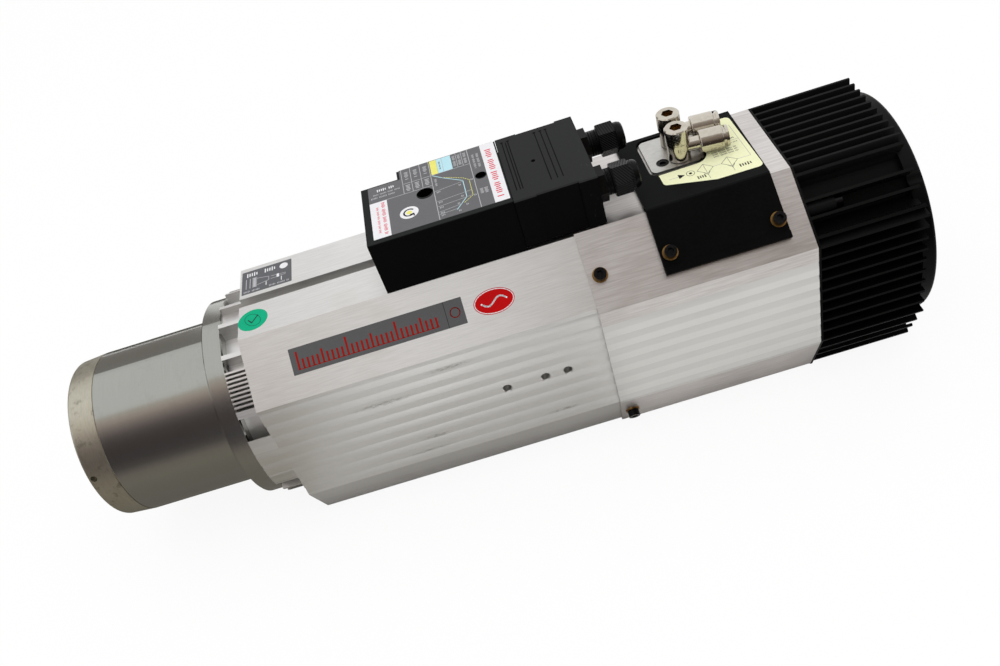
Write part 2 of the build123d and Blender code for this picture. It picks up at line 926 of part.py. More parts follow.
def fitting_base():
    plate = extrude(Pos(0, 0, shroud_top) * base_footprint(), base_rise)
    plate -= fitting_bores(stem_shank + bolted)
    sunk = Cylinder(head_share * base_screw + bolted, 2 * (base_rise - 1))
    hole = Cylinder((base_screw + bolted) / 2, 4 * base_rise)
    for x, y in base_screw_places():
        plate -= Pos(x, y, shroud_top + base_rise) * sunk
        plate -= Pos(x, y, shroud_top) * hole
    return plate


def base_screws():
    head = Cylinder(head_share * base_screw, base_rise - base_head_sink, align=standing)
    hexagon = Pos(0, 0, base_socket_floor) * extrude(RegularPolygon(socket_share * base_screw, 6), base_rise)
    return [Pos(x, y, shroud_top + 1) * (head - hexagon) for x, y in base_screw_places()]


def port_block():
    """Air manifold between the release cylinder and the shroud."""
    x = shroud_x + base_start
    top = shroud_top - sleeve_wall - frame_clearance
    body = block((x, x + port_block_length), (base_y - base_width / 2, base_y + base_width / 2), (0, top))
    body -= bar(x - 1, x + port_block_length + 1, cylinder_radius)
    body = body.solids().sort_by(Axis.Z)[-1]
    return body - fitting_bores(stem_shank)


def fitting_stems():
    """Hollow bolts with a hexagon socket, through the swivelling elbows."""
    stems = []
    top = shroud_top + stem_top
    for x, y in fitting_spots():
        seat_place = Pos(x, y, top - stem_head)
        head = seat_place * Cylinder(stem_radius, stem_head, align=standing)
        head = chamfer(head.edges().group_by(Axis.Z)[-1], stem_chamfer)
        shank_length = stem_top - stem_head + sleeve_wall + stem_thread_depth
        shank = seat_place * Cylinder(stem_shank, shank_length, align=hanging)
        socket = extrude(Pos(x, y, top - stem_socket_depth) * RegularPolygon(stem_socket / sqrt(3), 6), far)
        stems.append(head + shank - socket)
    return stems


def elbow(x, y):
    """Swivel ring round the stem with the push-in barrel on its side."""
    low = shroud_top + base_rise + stem_seal
    high = shroud_top + stem_top - stem_head - stem_seal / 2
    axis_z = shroud_top + elbow_axis_rise
    ring = Pos(0, 0, (high + low) / 2) * Cylinder(elbow_radius, high - low)
    ring += Pos(0, 0, high - elbow_flange / 2) * Cylinder(stem_radius, elbow_flange)
    neck = bar(0, barrel_start + 1, elbow_neck, z=axis_z)
    barrel = bar(barrel_start, barrel_end, barrel_radius, z=axis_z)
    barrel = fillet(barrel.edges().filter_by(GeomType.CIRCLE), barrel_round)
    body = ring + neck + barrel
    body -= Pos(0, 0, (high + low) / 2) * Cylinder(stem_shank + running, high)
    body -= bar(0, barrel_end, air_bore, z=axis_z)
    body -= bar(elbow_radius + tube_stop, barrel_end + 1, tube_bore, z=axis_z)
    body -= bar(barrel_end - collar_depth, barrel_end + 1, collar_recess, z=axis_z)
    return Pos(x, y, 0) * Rot(0, 0, fitting_turn) * body


def release_collar(x, y):
    """Spring-loaded collar that frees the air tube when it is pushed in."""
    axis_z = shroud_top + elbow_axis_rise
    start = barrel_end - collar_depth + collar_stroke + seat
    lip = barrel_end + collar_stroke + seat
    body = bar(start, lip, collar_recess - running, z=axis_z)
    body += bar(lip, lip + collar_flange, collar_radius, z=axis_z)
    body -= bar(start - 1, lip + collar_flange + 1, tube_bore + running, z=axis_z)
    return Pos(x, y, 0) * Rot(0, 0, fitting_turn) * body


# Connector

def connector_base():
    low = half_height
    body = block((connector_x, hood_x), (-box_half, box_half), (low, box_top))
    body -= block((connector_x - 1, connector_x + notch_length), (box_half - notch_depth, box_half + 1),
                  (low, box_top + 1))
    body = chamfer(body.edges().filter_by(Axis.X).group_by(Axis.Z)[-1], box_round / 2)
    body -= block((hood_x - insert_length, hood_x + 1), (-insert_half, insert_half),
                  (low + box_floor, box_top - box_roof))
    for along, bore in zip(connector_screw_x, connector_screw_bore):
        sink = Cylinder(bore / 2, 2 * (box_height - screw_seat))
        hole = Cylinder((small_screw + bolted) / 2, 4 * box_height)
        body -= Pos(connector_x + along, connector_screw_y, box_top) * sink
        body -= Pos(connector_x + along, connector_screw_y, low) * hole
    return body


def connector_screws():
    screws = []
    for along in connector_screw_x:
        screw = cap_screw(connector_screw, connector_screw_length)
        screws.append(Pos(connector_x + along, connector_screw_y, half_height + screw_seat) * screw)
    return screws


def connector_insert():
    body = block((hood_x - insert_length + seat, hood_x + insert_length),
                 (-insert_half + seat, insert_half - seat),
                 (half_height + box_floor + seat, box_top - box_roof - seat))
    return body


def connector_hood():
    """Cable hood: neck, raised grip and a wider collar, hollow inside."""
    low = half_height + hood_lift
    grip_x = hood_x + hood_neck_length
    collar_x = grip_x + hood_grip_length
    steps = ((hood_x + seat, grip_x, hood_neck_half), (grip_x, collar_x, hood_grip_half),
             (collar_x, hood_end, hood_collar_half))
    body = Part()
    for start, end, half in steps:
        piece = block((start, end), (-half, half), (low, box_top))
        body += chamfer(piece.edges().filter_by(Axis.X).group_by(Axis.Z)[-1], box_round / 2)
    body -= block((hood_x - 1, hood_end - hood_wall), (-insert_half - seat, insert_half + seat),
                  (half_height + box_floor, box_top - hood_wall))
    body -= Pos(hood_x + hood_hole_x, 0, box_top) * Cylinder(hood_hole / 2, hood_hole_reach)
    for y, z in gland_spots():
        body -= bar(hood_end - 2 * hood_wall, hood_end + 1, gland_thread + bolted, y, z)
    return body


def gland_spots():
    return [(side * gland_y, box_top - gland_drop) for side in (-1, 1)]


def hexagon_bar(start, end, across, y, z, turn=0.0):
    return prism(Pos(y, z) * Rot(0, 0, turn) * RegularPolygon(across / sqrt(3), 6), start, end)


def gland_body(y, z):
    flange_end = hood_end + gland_hex_length
    body = hexagon_bar(hood_end, flange_end, gland_hex, y, z)
    body += bar(hood_end - hood_wall - 3, hood_end + gland_thread_length, gland_thread, y, z)
    return body - bar(hood_end - far, hood_end + far, cable_radius + 1, y, z)


def gland_nut(y, z, nut_start, turn):
    start = hood_end + nut_start
    end = start + gland_nut_length
    tip = end + gland_dome
    corner = gland_nut_hex / sqrt(3)
    body = hexagon_bar(start, end, gland_nut_hex, y, z, turn)
    body &= Pos(0, y, z) * turned((start, 0), (start, corner - nut_corner), (start + nut_corner, corner),
                                  (end - nut_edge, corner), (end, gland_dome_radius), (end, 0))
    body += Pos(0, y, z) * turned((end, 0), (end, gland_dome_radius),
                                  (end + gland_dome / 2, gland_dome_radius),
                                  (tip - dome_shoulder, gland_dome_radius - dome_step),
                                  (tip, gland_dome_radius - dome_tip), (tip, 0))
    body -= bar(start - 1, tip + 1, cable_radius + cable_gap, y, z)
    return body - bar(start - 1, hood_end + gland_thread_length + seat, gland_thread + running, y, z)


def gland_nuts():
    poses = zip(gland_nut_starts, gland_nut_turns)
    return [gland_nut(*spot, *pose) for spot, pose in zip(gland_spots(), poses)]


def gland_seal(y, z):
    end = hood_end + gland_thread_length
    start = end - gland_seal_length
    return bar(start, end, cable_radius + 1, y, z) - bar(start - 1, end + 1, cable_radius, y, z)


# Fan and fan cover

def boss_spots():
    spots = []
    for side in (-1, 1):
        upper = flank(top_corner, shoulder, side, 0, boss_along, sleeve_proud - boss_depth).origin
        lower = flank(waist, foot, side, 0, foot_screw_along, sleeve_proud - boss_depth).origin
        spots += [(upper.Y, upper.Z), (lower.Y, lower.Z)]
    return spots


def cover_fins():
    """All fins as slabs that reach in to the barrel, in the section's outline."""
    reach = far / 2
    pitch = 2 * top_half / (top_fins - 1)
    slabs = []
    for number in range(top_fins):
        slabs.append(Pos(-top_half + number * pitch, 0) * Rectangle(fin, 2 * reach))
    side_pitch = (side_fin_top - side_fin_foot) / side_fins
    for number in range(side_fins + 1):
        slabs.append(Pos(0, side_fin_top - number * side_pitch) * Rectangle(2 * reach, fin))
    radial = [flank(top_corner, shoulder, 1, 0, along).origin for along in chamfer_fins]
    radial += [flank(waist, foot, 1, 0, along).origin for along in foot_fins]
    for tip in radial:
        slabs += spoke_pair(degrees(atan2(tip.Z, tip.Y)), fin)
    return (Sketch() + slabs) & cover_outline()


def cover_outline():
    return outline(sleeve_proud, sleeve_widen)


def fan_cover():
    """Finned cover: flange plate, barrel, fins that keep the section's octagon, and a round rim."""
    ring_x = end_x - cover_ring_length
    flange_face = cover_outline() - Circle(cover_radius - cover_wall)
    body = prism(flange_face, fan_x, fan_x + cover_flange)
    barrel = Circle(cover_radius) & cover_outline()
    body += prism(cover_fins() + barrel - Circle(cover_radius - cover_wall), fan_x, ring_x)
    rim = bar(ring_x - 2, end_x, cover_ring_radius)
    rim = fillet(rim.edges().group_by(Axis.X)[-1], cover_ring_round)
    rim &= block((0, end_x + 1), (-far, far), (-half_height, far))
    body += rim - bar(ring_x - 3, end_x + 1, cover_radius - cover_wall)
    for y, z in boss_spots():
        body += bar(fan_x, fan_x + boss_length, boss_radius, y, z)
        body -= bar(fan_x - 1, fan_x + boss_length + 1, screw_hole(), y, z)
        body -= bar(fan_x + boss_length, end_x, head_share * small_screw + seat, y, z)
    return body


def cover_screws():
    screws = []
    for y, z in boss_spots():
        screw = cap_screw(small_screw, boss_length + rear_frame_length - 2)
        screws.append(Pos(fan_x + boss_length, y, z) * Rot(0, 90, 0) * screw)
    return screws


def fan_guard():
    """Flat grille of rings on spokes, set into the rear of the cover."""
    outer = cover_radius - cover_wall - bolted
    face = Circle(outer) - Circle(outer - guard_ring_width)
    for ring in range(1, guard_rings):
        radius = outer - ring * (guard_ring_width + guard_gap)
        face += Circle(radius) - Circle(radius - guard_ring_width)
    spoke = Pos(outer / 2, 0) * Rectangle(outer - 4, spoke_width)
    face += [Rot(0, 0, spoke_turn + turn * 360 / guard_spokes) * spoke for turn in range(guard_spokes)]
    face += Circle(guard_hub)
    return prism(face, end_x - guard_thickness, end_x)


def fan_motor():
    """Outer-rotor fan's fixed half, bolted to the frame."""
    body = bar(fan_x, fan_x + fan_motor_length, fan_motor_radius - 4)
    return body + bar(fan_x, fan_x + 3, fan_motor_radius + 4)


def fan_impeller():
    start = fan_x + fan_motor_length + 2
    end = end_x - guard_thickness - fan_clearance
    hub = bar(fan_x + hub_wall, end, fan_hub + hub_wall)
    hub -= bar(fan_x + hub_opening, start, fan_motor_radius - 3)
    blade = Box(blade_thickness, blade_chord, cover_radius - cover_wall - fan_clearance - fan_hub - 2,
                align=standing)
    blade = Rot(0, 0, 90 - blade_pitch) * blade
    middle = (fan_x + blade_start + end) / 2
    blade = Pos(middle, 0, fan_hub + 2) * blade
    return hub + around(blade, fan_blades)


def build_frame():
    save("nose_cap", nose_cap())
    save("nose_cap_screws", ring_of_screws(cap_x + nose_screw_sink, cap_screw_circle, cap_screws, nose_screw,
                                           nose_screw_length, 0))
    save("front_bearing_housing", front_housing())
    flange_seat = flange_x + flange_screw_sink
    save("flange_screws", ring_of_screws(flange_seat, flange_screw_circle, flange_screws, flange_screw,
                                         tube_x - flange_seat, flange_screw_turn))
    save("motor_casing", motor_casing())
    save("stator_core", stator_core())
    save("stator_windings", *stator_windings())
    save("rear_bearing_housing", rear_bearing_housing())
    save("rear_shroud", rear_shroud())
    screws, rings = shroud_screws()
    save("shroud_screws", screws)
    save("shroud_washers", rings)


def build_bearings():
    front = (front_bearing_start, front_bearing_start + front_bearing_width + bearing_spacer)
    inner, outside, cages = bearing_rings(front, front_bearing_width, front_journal, front_bearing_outer)
    section = (front_bearing_outer - front_journal) * ring_section
    x = front_bearing_start + front_bearing_width
    save("front_inner_rings", inner, spacer(x, bearing_spacer, front_journal, front_journal + section))
    save("front_outer_rings", outside,
         spacer(x, bearing_spacer, front_bearing_outer - section, front_bearing_outer))
    save("front_ball_cages", cages)
    rear = (rear_bearing_start, rear_bearing_start + rear_bearing_width + rear_spacer)
    inner, outside, cages = bearing_rings(rear, rear_bearing_width, rear_journal, rear_bearing_outer)
    section = (rear_bearing_outer - rear_journal) * ring_section
    x = rear_bearing_start + rear_bearing_width
    save("rear_inner_rings", inner, spacer(x, rear_spacer, rear_journal, rear_journal + section))
    save("rear_outer_rings", outside,
         spacer(x, rear_spacer, rear_bearing_outer - section, rear_bearing_outer))
    save("rear_ball_cages", cages)


def build_shaft():
    save("spindle_shaft", spindle_shaft())
    save("drive_keys", drive_keys())
    save("rotor_core", rotor_core())
    save("rotor_end_rings", *rotor_end_rings())
    save("front_lock_nut", lock_nut(front_bearing_end, nut_width, front_journal, front_journal + nut_section))
    save("rear_lock_nut",
         lock_nut(rear_bearing_end, nut_width / 2, rear_journal, rear_journal + rear_nut_section))
    save("drawbar", drawbar())
    save("disc_springs", disc_springs())
    for number, finger in enumerate(gripper_fingers()):
        save(f"gripper_finger_{number + 1}", finger)


def build_rear():
    save("release_cylinder", release_cylinder())
    save("cylinder_cover", cylinder_cover())
    save("release_piston", release_piston())
    save("piston_seal", piston_seal())
    save("fan_frame", fan_frame())
    save("saddle_plate", saddle_plate())
    screws, rings = saddle_screws()
    save("saddle_screws", screws)
    save("saddle_washers", rings)
    save("fitting_base", fitting_base())
    save("base_screws", base_screws())
    save("port_block", port_block())
    for number, (stem, spot) in enumerate(zip(fitting_stems(), fitting_spots())):
        save(f"fitting_stem_{number + 1}", stem)
        save(f"elbow_{number + 1}", elbow(*spot))
        save(f"release_collar_{number + 1}", release_collar(*spot))


def build_connector():
    save("connector_base", connector_base())
    save("connector_screws", connector_screws())
    save("connector_insert", connector_insert())
    save("connector_hood", connector_hood())
    save("gland_bodies", [gland_body(*spot) for spot in gland_spots()])
    save("gland_nuts", gland_nuts())
    save("gland_seals", [gland_seal(*spot) for spot in gland_spots()])


def build_fan():
    save("fan_cover", fan_cover())
    save("cover_screws", cover_screws())
    save("fan_guard", fan_guard())
    save("fan_motor", fan_motor())
    save("fan_impeller", fan_impeller())


build_frame()
build_bearings()
build_shaft()
build_rear()
build_connector()
build_fan()
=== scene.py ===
import math
import bmesh
import bpy
from mathutils import Matrix, Vector


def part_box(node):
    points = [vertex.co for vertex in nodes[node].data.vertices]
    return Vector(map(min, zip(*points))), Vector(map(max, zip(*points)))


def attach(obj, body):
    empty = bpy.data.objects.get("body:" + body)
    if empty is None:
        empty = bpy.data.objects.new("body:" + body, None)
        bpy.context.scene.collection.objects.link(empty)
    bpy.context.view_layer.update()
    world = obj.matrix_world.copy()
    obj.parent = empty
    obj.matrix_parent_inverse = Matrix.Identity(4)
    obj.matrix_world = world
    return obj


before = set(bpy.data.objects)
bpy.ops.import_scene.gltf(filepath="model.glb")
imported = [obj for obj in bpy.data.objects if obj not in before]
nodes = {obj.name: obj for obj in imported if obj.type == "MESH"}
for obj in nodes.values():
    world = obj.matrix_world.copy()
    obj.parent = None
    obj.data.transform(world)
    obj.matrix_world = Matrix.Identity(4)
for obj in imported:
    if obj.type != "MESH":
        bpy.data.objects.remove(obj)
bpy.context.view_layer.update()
mm = 0.001


# camera, floor and lamps

camera = {"place": (0.2944, -0.4631, 0.4134), "turn": (45.749, 14.117, -9.918), "lens": 34.77, "sensor": 36.0,
          "clip": (0.01, 60.0)}
floor = {"place": (0.25, 0.0, -0.0715), "size": (14.0, 14.0), "colour": (0.86, 0.86, 0.86, 1.0),
         "rough": 0.9, "lift": 0.9, "glow": 1.01}
lamps = {
    "ceiling": {"place": (0.25, 0.1, 2.2), "aim": (0.25, 0.0, 0.0), "size": (3.4, 3.4), "power": 36.0},
    "frontLeft": {"place": (-1.6, -1.5, 1.3), "aim": (0.2, 0.0, 0.0), "size": (1.2, 1.2), "power": 4.5},
    "rightFill": {"place": (2.2, -0.9, 1.2), "aim": (0.3, 0.0, 0.0), "size": (1.4, 1.4), "power": 5.0},
}
room = {"shade": 0.60, "white": 1.0, "colour": (1.0, 1.0, 1.0, 1.0)}
# studio boards beside the set, which only gloss sees: they put the dark bands into round metal
boards = {
    "noseBoard": {"size": (1.85, 1.17), "place": (-0.875, -0.39, 0.5135), "lean": 90.0,
                  "stops": ((0.0, (0.24, 0.21, 0.19)), (0.04, (0.14, 0.125, 0.12)), (0.10, (0.092, 0.084, 0.086)),
                            (0.21, (0.102, 0.080, 0.079)), (0.285, (0.125, 0.107, 0.104)),
                            (0.36, (0.20, 0.168, 0.166)), (0.47, (0.38, 0.315, 0.295)), (0.64, (0.66, 0.56, 0.50)),
                            (0.93, (0.78, 0.74, 0.68)), (1.0, (0.85, 0.83, 0.78)))},
    "noseTable": {"size": (1.91, 0.965), "place": (-0.845, 0.0925, -0.0713), "lean": 0.0,
                  "stops": ((0.0, (0.24, 0.21, 0.19)), (0.10, (0.29, 0.26, 0.23)), (0.22, (0.31, 0.285, 0.243)),
                            (0.335, (0.25, 0.236, 0.205)), (0.41, (0.11, 0.105, 0.09)))},
    "rearBoard": {"size": (1.5, 1.17), "place": (1.03, -0.39, 0.5135), "lean": 90.0,
                  "stops": ((0.0, (0.05, 0.04, 0.034)), (0.18, (0.06, 0.046, 0.04)), (0.33, (0.27, 0.225, 0.195)),
                            (0.62, (0.40, 0.355, 0.33)), (1.0, (0.74, 0.71, 0.69)))},
    "backBoard": {"size": (1.5, 0.86), "place": (-0.95, 0.9, 0.36), "lean": 90.0,
                  "stops": ((0.0, (0.30, 0.28, 0.26)), (0.90, (0.33, 0.31, 0.29)), (0.95, (0.12, 0.115, 0.11)),
                            (1.0, (0.30, 0.29, 0.28)))},
    "frontTable": {"size": (0.22, 0.8), "place": (0.22, 0.175, -0.0714), "lean": 0.0,
                   "paint": (0.52, 0.505, 0.485)},
    "rearTable": {"size": (0.87, 0.8), "place": (0.765, 0.175, -0.0714), "lean": 0.0,
                  "paint": (0.86, 0.85, 0.835)},
}


def addCamera(look):
    data = bpy.data.cameras.new("studioCamera")
    data.lens = look["lens"]
    data.sensor_width = look["sensor"]
    data.clip_start, data.clip_end = look["clip"]
    made = bpy.data.objects.new("studioCamera", data)
    made.location = look["place"]
    made.rotation_euler = [math.radians(angle) for angle in look["turn"]]
    bpy.context.scene.collection.objects.link(made)
    bpy.context.scene.camera = made


def addLamp(name, look):
    data = bpy.data.lights.new(name, "AREA")
    data.shape = "RECTANGLE"
    data.size, data.size_y = look["size"]
    data.energy = look["power"]
    made = bpy.data.objects.new(name, data)
    made.location = look["place"]
    aim = Vector(look["aim"]) - Vector(look["place"])
    made.rotation_euler = aim.to_track_quat("-Z", "Y").to_euler()
    made.visible_glossy = False
    bpy.context.scene.collection.objects.link(made)


class Wire:
    # a shader socket that takes part in Python sums
    def __init__(self, socket):
        self.socket = socket

    def node(self, kind, settings=None, inputs=None, out=0):
        tree = self.socket.id_data
        made = tree.nodes.new("ShaderNode" + kind)
        settings = dict(settings or {})
        stops = settings.pop("stops", None)
        for key, value in settings.items():
            setattr(made, key, value)
        if stops:
            ramp = made.color_ramp
            while len(ramp.elements) < len(stops):
                ramp.elements.new(1.0)
            for element, (place, colour) in zip(ramp.elements, stops):
                element.position = place
                element.color = (*colour, 1.0)
        for key, value in (inputs or {}).items():
            if isinstance(value, Wire):
                tree.links.new(value.socket, made.inputs[key])
            else:
                made.inputs[key].default_value = value
        return Wire(made.outputs[out])

    def sum(self, operation, first, second=0.0):
        return self.node("Math", {"operation": operation}, {0: first, 1: second})

    def reach(self, centre):
        # how far this place is from a centre
        return self.node("VectorMath", {"operation": "DISTANCE"}, {0: self, 1: centre}, 1)

    def __add__(self, other):
        return self.sum("ADD", self, other)

    def __radd__(self, other):
        return self.sum("ADD", other, self)

    def __sub__(self, other):
        return self.sum("SUBTRACT", self, other)

    def __rsub__(self, other):
        return self.sum("SUBTRACT", other, self)

    def __mul__(self, other):
        return self.sum("MULTIPLY", self, other)

    def __rmul__(self, other):
        return self.sum("MULTIPLY", other, self)

    def __mod__(self, other):
        return self.sum("FLOORED_MODULO", self, other)

    def __rmod__(self, other):
        return self.sum("FLOORED_MODULO", other, self)

    def __abs__(self):
        return self.sum("ABSOLUTE", self)

    def wave(self, pitch):
        return self.sum("SINE", self * (2 * math.pi / pitch))

    def above(self, edge, blur):
        # 0 below the edge, 1 above it, with a soft step
        low = {"From Min": edge - blur, "From Max": edge + blur}
        return self.node("MapRange", {"interpolation_type": "SMOOTHSTEP"}, {"Value": self, **low})

    def within(self, low, high, blur):
        return self.above(low, blur) * (1 - self.above(high, blur))

    def mix(self, first, second):
        # this wire is the factor
        first = first if isinstance(first, Wire) else (*first, 1.0)
        second = second if isinstance(second, Wire) else (*second, 1.0)
        return self.node("Mix", {"data_type": "RGBA"}, {0: self, 6: first, 7: second}, 2)

    def along(self, axis):
        return self.node("SeparateXYZ", None, {0: self}, axis)

    def stretch(self, scale):
        return self.node("VectorMath", {"operation": "MULTIPLY"}, {0: self, 1: scale})

    def noise(self, scale, detail, rough=0.55):
        inputs = {"Vector": self, "Scale": scale, "Detail": detail, "Roughness": rough}
        return self.node("TexNoise", None, inputs)


def feed(target, key, wire):
    target.id_data.links.new(wire.socket, target.inputs[key])


def whiteRays(start):
    # rays from the camera, and those that gloss and glass send on
    path = start.node("LightPath", None, None, "Is Camera Ray")
    path = path.sum("MAXIMUM", path, start.node("LightPath", None, None, "Is Glossy Ray"))
    return path.sum("MAXIMUM", path, start.node("LightPath", None, None, "Is Transmission Ray"))


def addSheet(name, size, place, lean):
    shape = bmesh.new()
    placed = Matrix.Translation(place) @ Matrix.Rotation(math.radians(lean), 4, "X")
    sized = Matrix.Diagonal((size[0], size[1], 1.0, 1.0))
    shape.loops.layers.uv.new("UVMap")
    bmesh.ops.create_grid(shape, x_segments=1, y_segments=1, size=0.5, matrix=placed @ sized, calc_uvs=True)
    mesh = bpy.data.meshes.new(name)
    shape.to_mesh(mesh)
    shape.free()
    made = bpy.data.objects.new(name, mesh)
    bpy.context.scene.collection.objects.link(made)
    material = bpy.data.materials.new(name)
    material.use_nodes = True
    mesh.materials.append(material)
    return made, material


def addFloor(look):
    material = addSheet("studioFloor", look["size"], look["place"], 0.0)[1]
    tree = material.node_tree
    shader = tree.nodes["Principled BSDF"]
    shader.inputs["Base Color"].default_value = look["colour"]
    shader.inputs["Roughness"].default_value = look["rough"]
    start = Wire(shader.outputs[0])
    glow = start.node("Emission", None, {"Strength": look["glow"]})
    mixed = start.node("MixShader", None, {0: whiteRays(start) * look["lift"], 1: start, 2: glow})
    feed(tree.nodes["Material Output"], "Surface", mixed)


def addBoard(name, look):
    made, material = addSheet(name, look["size"], look["place"], look["lean"])
    made.visible_camera = False
    made.visible_diffuse = False
    made.visible_shadow = False
    made.visible_transmission = False
    shader = material.node_tree.nodes["Principled BSDF"]
    shader.inputs["Specular IOR Level"].default_value = 0.0
    shader.inputs["Base Color"].default_value = (*look.get("paint", (0.0, 0.0, 0.0)), 1.0)
    if "stops" in look:
        # shaded from its foot to its top
        start = Wire(shader.outputs[0])
        rise = start.node("TexCoord", None, None, "UV").along("Y")
        shade = rise.node("ValToRGB", {"stops": look["stops"]}, {"Fac": rise})
        feed(shader, "Emission Color", shade)
        shader.inputs["Emission Strength"].default_value = 1.0


def addRoom(look):
    world = bpy.data.worlds.new("studioRoom")
    world.use_nodes = True
    bpy.context.scene.world = world
    back = world.node_tree.nodes["Background"]
    back.inputs["Color"].default_value = look["colour"]
    shade = look["shade"]
    feed(back, "Strength", shade + whiteRays(Wire(back.outputs[0])) * (look["white"] - shade))


addCamera(camera)
addFloor(floor)
addRoom(room)
for lampName, lampLook in lamps.items():
    addLamp(lampName, lampLook)
for boardName, boardLook in boards.items():
    addBoard(boardName, boardLook)
bpy.context.scene.view_settings.view_transform = "Standard"
print("stage: camera, floor, lamps and boards")


# finishes, each laid over these plain values

plain = {"detail": 5.0, "patch": 22.0, "patchDetail": 3.0, "contrast": 0.6, "middle": 0.5, "patchBlur": 0.3,
         "fineShare": 0.6, "gloss": 0.5}


def newMaterial(name, constants):
    material = bpy.data.materials.new(name)
    material.use_nodes = True
    shader = material.node_tree.nodes["Principled BSDF"]
    for key, value in constants.items():
        shader.inputs[key].default_value = value
    return material, shader, Wire(shader.outputs[0]).node("TexCoord", None, None, "Object")


def finishWith(shader, colour, rough, height, relief):
    feed(shader, "Base Color", colour)
    feed(shader, "Roughness", rough)
    bump = {"Strength": 1.0, "Distance": relief * mm, "Height": height}
    feed(shader, "Normal", height.node("Bump", None, bump))


def grain(place, look):
    # fine streaks or grain over broad patches
    look = {**plain, **look}
    middle, share, spread = look["middle"], look["fineShare"], look["spread"]
    fine = place.stretch(look["stretch"]).noise(1.0, look["detail"])
    broad = place.noise(look["patch"], look["patchDetail"])
    tone = fine.above(middle, middle * look["contrast"]) * share
    tone = tone + broad.above(middle, look["patchBlur"]) * (1 - share)
    rough = look["rough"] + (fine - middle) * spread + (broad - middle) * spread
    return fine, tone.mix(look["dark"], look["light"]), rough


def dustAndTopLight(place, colour, look):
    # a grey film on the faces that lie high up: partly dust, partly painted light that makes the top faces lighter
    # than the sides
    return place.along("Z").above(*look["dustAndLightFrom"]).mix(colour, look["dustAndLightTone"])


def grained(name, look):
    constants = {"Metallic": look["metal"], "Specular IOR Level": look.get("gloss", plain["gloss"])}
    material, shader, place = newMaterial(name, constants)
    fine, colour, rough = grain(place, look)
    # lighter top faces: partly dust, partly painted light
    if "dustAndLightTone" in look:
        colour = dustAndTopLight(place, colour, look)
    finishWith(shader, colour, rough, fine, look["relief"])
    return material


finishes = {
    "turnedAluminium": {"metal": 1.0, "dark": (0.52, 0.525, 0.53), "light": (0.68, 0.685, 0.69), "rough": 0.34,
                        "spread": 0.12, "stretch": (1800.0, 120.0, 120.0), "relief": 0.02},
    "hardSteel": {"metal": 1.0, "dark": (0.34, 0.345, 0.36), "light": (0.50, 0.505, 0.52), "rough": 0.24,
                  "spread": 0.1, "stretch": (1600.0, 90.0, 90.0), "relief": 0.008},
    "sheetStack": {"metal": 1.0, "dark": (0.13, 0.13, 0.14), "light": (0.28, 0.28, 0.30), "rough": 0.45,
                   "spread": 0.15, "stretch": (2000.0, 10.0, 10.0), "relief": 0.05},
    "copperWire": {"metal": 1.0, "dark": (0.42, 0.14, 0.06), "light": (0.72, 0.30, 0.15), "rough": 0.36,
                   "spread": 0.12, "stretch": (120.0, 1500.0, 1500.0), "relief": 0.12},
    "blackOxide": {"metal": 1.0, "dark": (0.006, 0.006, 0.007), "light": (0.030, 0.030, 0.032), "rough": 0.30,
                   "spread": 0.14, "stretch": (900.0, 900.0, 900.0), "relief": 0.01},
    "yellowPassivated": {"metal": 1.0, "dark": (0.20, 0.11, 0.04), "light": (0.44, 0.27, 0.09), "rough": 0.34,
                         "spread": 0.14, "stretch": (600.0, 600.0, 600.0), "relief": 0.01},
    "plateSilver": {"metal": 1.0, "dark": (0.46, 0.455, 0.435), "light": (0.62, 0.615, 0.59), "rough": 0.36,
                    "spread": 0.12, "stretch": (260.0, 500.0, 500.0), "relief": 0.008},
    "sealRubber": {"metal": 0.0, "dark": (0.006, 0.006, 0.006), "light": (0.016, 0.016, 0.016), "rough": 0.7,
                   "spread": 0.1, "stretch": (1100.0, 1100.0, 1100.0), "relief": 0.02, "gloss": 0.2},
    # the grey tone of these black finishes on their high faces is partly dust and partly painted light on the tops
    "coverBlack": {"metal": 0.0, "dark": (0.0010, 0.0010, 0.0010), "light": (0.0025, 0.0025, 0.0026),
                   "rough": 0.36, "spread": 0.12, "stretch": (500.0, 1400.0, 1400.0), "relief": 0.02,
                   "gloss": 0.04, "dustAndLightTone": (0.008, 0.0084, 0.008), "dustAndLightFrom": (0.050, 0.02)},
    "saddleBlack": {"metal": 0.0, "dark": (0.0015, 0.0015, 0.0015), "light": (0.0035, 0.0035, 0.0035),
                    "rough": 0.42, "spread": 0.14, "stretch": (700.0, 700.0, 700.0), "relief": 0.012,
                    "gloss": 0.03, "dustAndLightTone": (0.006, 0.0063, 0.0063), "dustAndLightFrom": (0.0752, 0.0002)},
    "boxBlack": {"metal": 0.0, "dark": (0.0012, 0.0012, 0.0012), "light": (0.003, 0.003, 0.003), "rough": 0.44,
                 "spread": 0.12, "stretch": (1500.0, 1500.0, 1500.0), "relief": 0.018, "gloss": 0.025,
                 "dustAndLightTone": (0.018, 0.019, 0.019), "dustAndLightFrom": (0.1062, 0.0001)},
}
